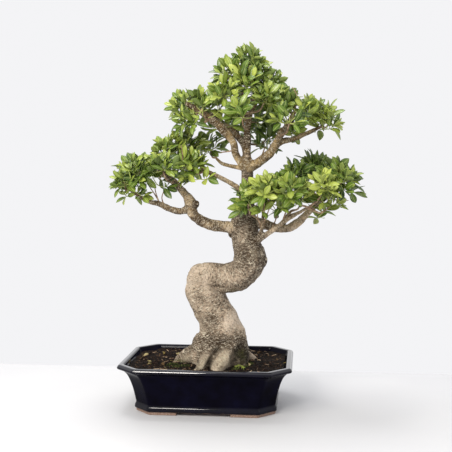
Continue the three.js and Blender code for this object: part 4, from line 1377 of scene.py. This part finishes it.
# %% Spray pieces
RIB_MARK = [0.0, 0.5, 0.0]
SHOOT_TINT = 0.7


def spray_shape(tubes, leaves):
    """One shape of shoots and leaves, with their blade marks and tints."""
    size = leaves[:, 9]
    spread = 1 + 0.12 * noise(leaves[:, :3] + 500, 3, 31)
    points, quads, marks = leaf_blades(
        leaves[:, :3], leaves[:, 3:6], leaves[:, 6:9], LEAF_LENGTH * size,
        LEAF_HALF_WIDTH * size * spread, fold=0.22 + 0.12 * noise(leaves[:, :3], 4, 32),
        droop=0.16 + 0.12 * noise(leaves[:, :3], 5, 33),
    )
    shoots = together(tubes)
    shoot_count = len(shoots[0])
    marks = np.concatenate([marks, np.tile(RIB_MARK, (shoot_count, 1))])
    tint = np.repeat(leaves[:, 10], BLADE_POINTS)
    tint = np.concatenate([tint, np.full(shoot_count, SHOOT_TINT)])
    return together([(points, [quads]), shoots]), marks, tint


for name, (tubes, leaves) in grown.items():
    shape, marks, tint = spray_shape(tubes, leaves)
    add_piece(
        "leaves_" + name, shape, leaf_skin, "leaf", ["spray_" + name], blade=marks, tint=tint
    )

# %% [markdown]
# ## Soil
#
# The soil is a coarse, dark mix that mounds up to the roots. Its top is a height over the
# plan: the mound plus clods of three sizes. The grid is round, and each ray stops at the
# pot's octagonal wall.

# %% Soil surface
SOIL_EDGE = 102
SOIL_RISE = 8
SOIL_REACH = 95
SEAT_GAP = 0.3
SOIL_FLOOR = FLOOR_Z + 2.6
SOIL_SIDES = 260
SOIL_ROWS = 76


def soil_height(x, y):
    """Edge height + rise exp(-(x^2 + y^2) / reach^2) + clods 26, 9 and 4 mm wide."""
    flat = np.stack([x, y, 0 * x], -1)
    mound = SOIL_EDGE + SOIL_RISE * np.exp(-(x * x + y * y) / SOIL_REACH**2)
    return mound + 1.6 * noise(flat, 26, 41) + 1.4 * noise(flat, 9, 42) + 0.8 * noise(flat, 4, 43)


def octagon_reach(angle, inset):
    """Distance from the middle to the pot's outline moved inwards by an inset."""
    a, b = pot_length / 2 - inset, pot_width / 2 - inset
    cut = a + b - POT_CHAMFER + CHAMFER_SLIM * inset
    x, y = np.abs(np.cos(angle)), np.abs(np.sin(angle))
    return 1 / np.maximum(np.maximum(x / a, y / b), (x + y) / cut)


def soil_ring(share, inset):
    """x and y of a ring of soil points, at a share of the way out to the inset wall."""
    angle = np.linspace(0, 2 * np.pi, SOIL_SIDES, endpoint=False)
    reach = share * octagon_reach(angle, inset + SEAT_GAP)
    return reach * np.cos(angle), reach * np.sin(angle)


# Inset and height down the pot's inner wall, whose last pair is the soil's edge
inner_wall = [(46, SOIL_FLOOR), (40, 50), (33, 73), (25.5, 90), (18, SOIL_EDGE)]
levels = []
for inset, level in inner_wall[:-1]:
    x, y = soil_ring(1, inset)
    levels.append(np.stack([x, y, np.full_like(x, level)], -1))
for share in np.linspace(1, 0.02, SOIL_ROWS):
    x, y = soil_ring(share, inner_wall[-1][0])
    levels.append(np.stack([x, y, soil_height(x, y)], -1))
soil_shape = closed_tube(np.array(levels))
print("soil rings:", len(levels))

# %% [markdown]
# ## Finish: potting soil
#
# Damp bark, loam and grit: nearly black brown in crumbs 3 to 6 mm wide, with warmer and
# redder crumbs between. It is quite matt.

# %% Soil finish
earth, add, where = new_finish("damp crumbly potting soil")
crumbs = add("TexVoronoi", {"Vector": where, "Scale": 260.0})
patchy = add("TexNoise", {"Vector": where, "Scale": 45.0, "Detail": 5.0})
picked = add("SeparateColor", {0: crumbs.outputs["Color"]})
shade = add("Math", {0: picked, 1: 0.5, 2: patchy}, operation="MULTIPLY_ADD")
brown = add(
    "ValToRGB", {0: shade},
    stops=[(0.35, "#070504"), (0.65, "#0e0a07"), (0.85, "#18110c"), (1.0, "#271b14")],
)
lumpy = add(
    "Bump", {"Strength": 0.9, "Distance": 0.002, "Height": crumbs.outputs["Distance"]},
    invert=True,
)
shader = add("BsdfPrincipled", {
    "Base Color": brown, "Roughness": 0.95, "Specular IOR Level": 0.1, "Normal": lumpy,
})
add("OutputMaterial", {"Surface": shader})
add_piece("potting_soil", soil_shape, earth, "soil", ["soil"])

# %% [markdown]
# ## Litter on the soil
#
# Loose things lie on it: crumbs and grit, reddish bark chips, dry fig leaves, twig ends.
# Each kind repeats one small form, turned and sized at random, where no root stands.

# %% Scattering
def scatter(count, chance, inset=24):
    """Random places on the soil, as x, y, z. Three times as many are drawn, because some
    of them lie on the trunk or a root and are dropped."""
    angle = chance.uniform(0, 2 * np.pi, 3 * count)
    out = np.sqrt(chance.uniform(0, 1, 3 * count)) * octagon_reach(angle, inset)
    x, y = out * np.cos(angle), out * np.sin(angle)
    spot = np.stack([x, y, soil_height(x, y)], -1)
    _, share = nearest_ring(spot)
    return spot[share > 1.02][:count]


def random_turns(count, chance):
    """Rotation matrices from random unit quaternions."""
    w, x, y, z = unit(chance.normal(size=(count, 4))).T
    return np.stack([
        1 - 2 * (y * y + z * z), 2 * (x * y - w * z), 2 * (x * z + w * y),
        2 * (x * y + w * z), 1 - 2 * (x * x + z * z), 2 * (y * z - w * x),
        2 * (x * z - w * y), 2 * (y * z + w * x), 1 - 2 * (x * x + y * y),
    ], -1).reshape(-1, 3, 3)


# %% [markdown]
# A crumb or a chip is a lump of seventeen points, which is enough for something a few
# millimetres wide. All lumps of a kind are worked out in one go, each made uneven by noise
# at a place of its own.

# %% Lumps
LUMP_RINGS = np.radians([-50, 0, 50])
LUMP_SIDES = 5
LUMP_POINTS = len(LUMP_RINGS) * LUMP_SIDES + 2


def lump_shapes(places, sizes, turns, seed):
    """Small closed lumps: rings of points on a ball between two poles, made uneven."""
    level = LUMP_RINGS[:, None]
    angle = np.linspace(0, 2 * np.pi, LUMP_SIDES, endpoint=False)
    ring = [np.cos(level) * np.cos(angle), np.cos(level) * np.sin(angle), np.sin(level)]
    points, groups = closed_tube(np.stack(np.broadcast_arrays(*ring), -1))
    points[-2:] = [[0, 0, -1], [0, 0, 1]]
    uneven = 1 + 0.25 * noise(points[None] * 2 + 9 * places[:, None], 1.7, seed)
    lumps = points[None] * uneven[..., None] * sizes[:, None]
    lumps = np.einsum("nij,nkj->nki", turns, lumps) + places[:, None]
    step = LUMP_POINTS * np.arange(len(places))[:, None, None]
    return lumps.reshape(-1, 3), [(g[None] + step).reshape(-1, g.shape[1]) for g in groups]


CRUMBS, CHIPS = 1500, 170
chance = np.random.default_rng(71)
spots = scatter(CRUMBS, chance)
sizes = chance.uniform(0.8, 2.3, (len(spots), 1)) * chance.uniform(0.6, 1.2, (len(spots), 3))
crumb_shape = lump_shapes(spots, sizes, random_turns(len(spots), chance), 72)
crumb_tint = np.repeat(chance.uniform(0, 1, len(spots)), LUMP_POINTS)
chips = scatter(CHIPS, chance)
chip_sizes = chance.uniform(2.2, 5.5, (len(chips), 1)) * [1.0, 0.45, 0.25]
chip_turns = random_turns(len(chips), chance)
chip_shape = lump_shapes(chips + [0, 0, 0.8], chip_sizes, chip_turns, 73)
chip_tint = np.repeat(chance.uniform(0, 1, len(chips)), LUMP_POINTS)
print("crumbs and chips:", len(spots), len(chips))

# %% [markdown]
# ## Finishes: grit, bark chips, dry leaves and moss
#
# One recipe serves all the litter, and the moss too: a ramp of the kind's own colours
# picked by each bit's tint, with a fine mottle. Grit is dull brown, chips are redder, dry
# leaves are straw.

# %% Litter finishes
def litter_finish(name, stops, grain_mm):
    """A matt finish whose colour each bit picks by its tint, with a mottle of a size."""
    finish, add, where = new_finish(name)
    pick = add("Attribute", attribute_name="tint").outputs["Fac"]
    fine = add("TexNoise", {"Vector": where, "Scale": 1000.0 / grain_mm, "Detail": 3.0})
    mixed = add("Math", {0: fine, 1: 0.35, 2: pick}, operation="MULTIPLY_ADD")
    hue = add("ValToRGB", {0: mixed}, stops=stops)
    uneven = add("Bump", {"Strength": 0.5, "Distance": 0.0004, "Height": fine})
    shader = add("BsdfPrincipled", {
        "Base Color": hue, "Roughness": 0.85, "Specular IOR Level": 0.15, "Normal": uneven,
    })
    add("OutputMaterial", {"Surface": shader})
    return finish


grit_finish = litter_finish(
    "brown soil grit", [(0.1, "#0b0705"), (0.6, "#170f0b"), (0.98, "#2b1d15"), (1.0, "#5a4632")], 3
)
chip_finish = litter_finish(
    "red brown bark chips", [(0.1, "#110a09"), (0.6, "#221511"), (1.0, "#3e2b22")], 4
)
add_piece("soil_crumbs", crumb_shape, grit_finish, "soil", tint=crumb_tint)
add_piece("bark_chips", chip_shape, chip_finish, "soil", tint=chip_tint)

# %% [markdown]
# Dry leaves are the same blades as the green ones, smaller, curled and lying nearly flat.
# The clearest ones of the real pot lie left of the roots, so those places are given, and a
# few more are left to chance.

# %% Dry leaves
DRY_PLACES = [[-144, -26], [-138, -52], [-92, -21], [-96, -66], [115, 10], [162, 36], [177, -4],
              [-171, 58], [-94, 89], [110, 78]]
MORE_DRY_LEAVES = 6
chance = np.random.default_rng(81)
by_chance = scatter(MORE_DRY_LEAVES, chance)[:, :2]
spots = np.concatenate([np.array(DRY_PLACES, float), by_chance])
spots = np.column_stack([spots, soil_height(spots[:, 0], spots[:, 1]) + 1.6])
count = len(spots)
heading = chance.uniform(0, 2 * np.pi, count)
along = unit(np.stack([np.cos(heading), np.sin(heading), chance.normal(0, 0.18, count)], -1))
face = UP + chance.normal(0, 0.3, (count, 3))
face = unit(face - along * (face * along).sum(1, keepdims=True))
length = chance.uniform(11, 21, count)
dry_points, dry_quads, _ = leaf_blades(
    spots, along, face, length, length * 0.24, fold=chance.uniform(0.4, 0.9, count),
    droop=chance.uniform(-0.25, 0.2, count),
)
dry_finish = litter_finish(
    "dry fig leaf", [(0.1, "#34261a"), (0.5, "#574329"), (0.8, "#776838"), (1.0, "#9d9068")], 5
)
add_piece(
    "dry_leaves", (dry_points, [dry_quads]), dry_finish, "soil",
    tint=np.repeat(chance.uniform(0, 0.9, count), BLADE_POINTS),
)

# %% [markdown]
# Twig ends are short thin tubes with a slight bow, dropped at random on the soil. They
# take the bark of the young twigs.

# %% Twig ends
TWIG_ENDS = 46
END_STEPS = 5
end_tubes = []
for spot in scatter(TWIG_ENDS, chance):
    way = unit(np.array([*chance.normal(size=2), 0.25 * chance.normal()]))
    span = chance.uniform(7, 20)
    t = np.linspace(-0.5, 0.5, END_STEPS)[:, None]
    path = spot + [0, 0, 1.2] + t * span * way + t**2 * span * 0.3 * np.cross(way, UP)
    end_tubes.append(round_tube(path, np.linspace(1.0, 0.6, END_STEPS), 5))
add_piece("twig_ends", together(end_tubes), twig_bark, "soil")

# %% [markdown]
# ## Moss and a seedling
#
# Cushions of moss sit against the roots, at the front and at the back. Each cushion is
# many short blades that lean apart. A real blade is a millimetre tall. They are drawn 2
# to 4 mm tall, so that they still show.

# %% Moss cushions
# Middle, width and depth of each cushion
MOSS_PLACES = [[-58, -72, 22, 9], [-80, -58, 14, 9], [90, -58, 12, 10], [96, -24, 12, 12],
               [74, -84, 8, 5], [30, 100, 26, 12], [-60, 70, 22, 12]]
BLADES_EACH = 130
MOSS_SIDES = 4
# Three rings and two end points
MOSS_POINTS = 3 * MOSS_SIDES + 2
chance = np.random.default_rng(91)
spots = np.concatenate([
    chance.normal(size=(BLADES_EACH, 2)) * [wide * 0.5, deep * 0.5] + [x, y]
    for x, y, wide, deep in MOSS_PLACES
])
spots = np.column_stack([spots, soil_height(spots[:, 0], spots[:, 1])])
_, share = nearest_ring(spots)
spots = spots[share > 0.97]
lean = unit(UP + chance.normal(0, 0.5, (len(spots), 3)))
tall = chance.uniform(1.8, 4.0, len(spots))
angle = np.linspace(0, 2 * np.pi, MOSS_SIDES, endpoint=False)
circle = np.stack([np.cos(angle), np.sin(angle), 0 * angle], -1)
moss_tubes = [
    closed_tube(np.stack([spot + circle * 0.9 - UP, spot + way * high * 0.6 + circle * 0.8,
                          spot + way * high + circle * 0.15]))
    for spot, way, high in zip(spots, lean, tall)
]
moss_finish = litter_finish(
    "cushion moss", [(0.1, "#12150b"), (0.5, "#252b13"), (0.85, "#424a22"), (1.0, "#6b7140")], 3
)
add_piece(
    "moss", together(moss_tubes), moss_finish, "soil",
    tint=np.repeat(chance.uniform(0, 0.8, len(spots)), MOSS_POINTS),
)
print("moss blades:", len(spots))

# %% [markdown]
# Right of the front root a seedling has put up a few stems, each with four small round
# leaves at its top. They are the same blades as the tree's leaves, and have its finish.

# %% Seedling
# x, y and height of each stem
SEEDLING = [[73, -79, 5], [79, -83, 8], [85, -80, 6], [91, -84, 5]]
SEED_LEAF_LENGTH, SEED_LEAF_HALF_WIDTH = 4.8, 2.3
SEED_TINT = 0.58
chance = np.random.default_rng(95)
roots, ways, stems = [], [], []
for x, y, tall in SEEDLING:
    foot = np.array([x, y, soil_height(np.array(float(x)), np.array(float(y)))])
    top = foot + [chance.normal(0, 1.5), chance.normal(0, 1.5), tall]
    stems.append(round_tube(np.linspace(foot - 2 * UP, top, 4), np.full(4, 0.6), 5))
    for turn_now in chance.uniform(0, 6, 1) + np.arange(4) * 1.6:
        roots.append(top)
        ways.append(unit(np.array([np.cos(turn_now), np.sin(turn_now), 0.2])))
roots, ways = np.array(roots), np.array(ways)
faces_up = unit(UP - ways * ways[:, 2:3])
each = np.ones(len(roots))
points, quads, marks = leaf_blades(
    roots, ways, faces_up, SEED_LEAF_LENGTH * each, SEED_LEAF_HALF_WIDTH * each,
    fold=0.2 * each, droop=0.1 * each,
)
stem_shape = together(stems)
seed_shape = together([(points, [quads]), stem_shape])
add_piece(
    "seedling", seed_shape, leaf_skin, "leaf",
    blade=np.concatenate([marks, np.zeros((len(stem_shape[0]), 3))]),
    tint=np.full(len(seed_shape[0]), SEED_TINT),
)

# %% [markdown]
# ## Stage, light and camera
#
# The floor and the surroundings are pale and plain. The floor ends a little behind the
# pot and lies a hair under its feet.

# %% Floor and world
FLOOR_HALF = 3.0
FLOOR_BACK = 0.345
FLOOR_UNDER = 0.0004

floor_finish, add, where = new_finish("pale matt floor")
faint = add("TexNoise", {"Vector": where, "Scale": 3.0, "Detail": 2.0})
shade = add("ValToRGB", {0: faint}, stops=[(0.3, "#c2c2c4"), (0.7, "#c6c6c7")])
shader = add("BsdfPrincipled", {"Base Color": shade, "Roughness": 0.7})
add("OutputMaterial", {"Surface": shader})
sides, ends = (-FLOOR_HALF, FLOOR_HALF), (-FLOOR_HALF, FLOOR_BACK)
corners = [(x, y, -FLOOR_UNDER) for y in ends for x in sides]
floor_mesh = mesh_of("floor", (corners, [np.array([[0, 1, 3, 2]])]))
floor_mesh.materials.append(floor_finish)
floor = new_object("floor", floor_mesh)

scene = bpy.context.scene
world = bpy.data.worlds.new("pale room")
world.use_nodes = True
sky = world.node_tree.nodes["Background"]
sky.inputs["Color"].default_value = linear("#f6f6f8")
sky.inputs["Strength"].default_value = 0.98
scene.world = world
scene.view_settings.view_transform = "Standard"


# %% [markdown]
# A broad lamp stands to the upper left in front, as a window would, with a smaller one
# near it. A weak one fills the right, and one above lights the tops of the leaves. A wide
# panel behind the tree, which the camera doesn't see, is there for the rim's flat top to
# mirror.

# %% Lamps
def add_lamp(name, place, target, size, power, colour):
    """A rectangular area lamp at a place in metres, facing a target."""
    light = bpy.data.lights.new(name, "AREA")
    light.shape = "RECTANGLE"
    light.size, light.size_y = size
    light.energy = power
    light.color = linear(colour)[:3]
    lamp = new_object(name, light)
    lamp.location = place
    lamp.rotation_euler = (Vector(target) - Vector(place)).to_track_quat("-Z", "Y").to_euler()
    return lamp


tree_middle = (0.0, 0.0, 0.45)
add_lamp("window", (-1.25, -1.7, 1.6), tree_middle, (0.9, 0.8), 30, "#fffaf2")
add_lamp("near window", (-0.5, -1.8, 1.25), (0, 0, 0.2), (0.36, 0.28), 17, "#fffaf2")
add_lamp("fill", (2.2, -1.2, 1.2), tree_middle, (1.2, 1.2), 5, "#eef3ff")
add_lamp("ceiling", (-0.3, 0.2, 2.3), tree_middle, (1.0, 0.7), 24, "#ffffff")
panel = add_lamp("back panel", (-0.3, 2.4, 0.75), tree_middle, (3.4, 0.9), 10, "#ffffff")
panel.visible_camera = False

# %% [markdown]
# The camera stands about 1.8 m in front of the tree, a little right of it and half a metre
# up. It looks slightly left and slightly down. Its place is in millimetres, and its turns
# are in radians.

# %% Camera
CAMERA_PLACE = [224.4, -1841, 533]
LOOKS_LEFT = 0.099
LOOKS_DOWN = 0.058
SENSOR_WIDTH = 36
# The focal length is 1.7376 times the picture's width
FOCAL_SHARE = 785.4 / 452
camera_data = bpy.data.cameras.new("camera")
camera_data.sensor_width = SENSOR_WIDTH
camera_data.lens = SENSOR_WIDTH * FOCAL_SHARE
camera = new_object("camera", camera_data)
camera.location = placed(CAMERA_PLACE)
sight = Vector((
    -np.sin(LOOKS_LEFT) * np.cos(LOOKS_DOWN),
    np.cos(LOOKS_LEFT) * np.cos(LOOKS_DOWN),
    -np.sin(LOOKS_DOWN),
))
camera.rotation_euler = sight.to_track_quat("-Z", "Y").to_euler()
scene.camera = camera
print("camera at:", [round(value, 3) for value in camera.location])
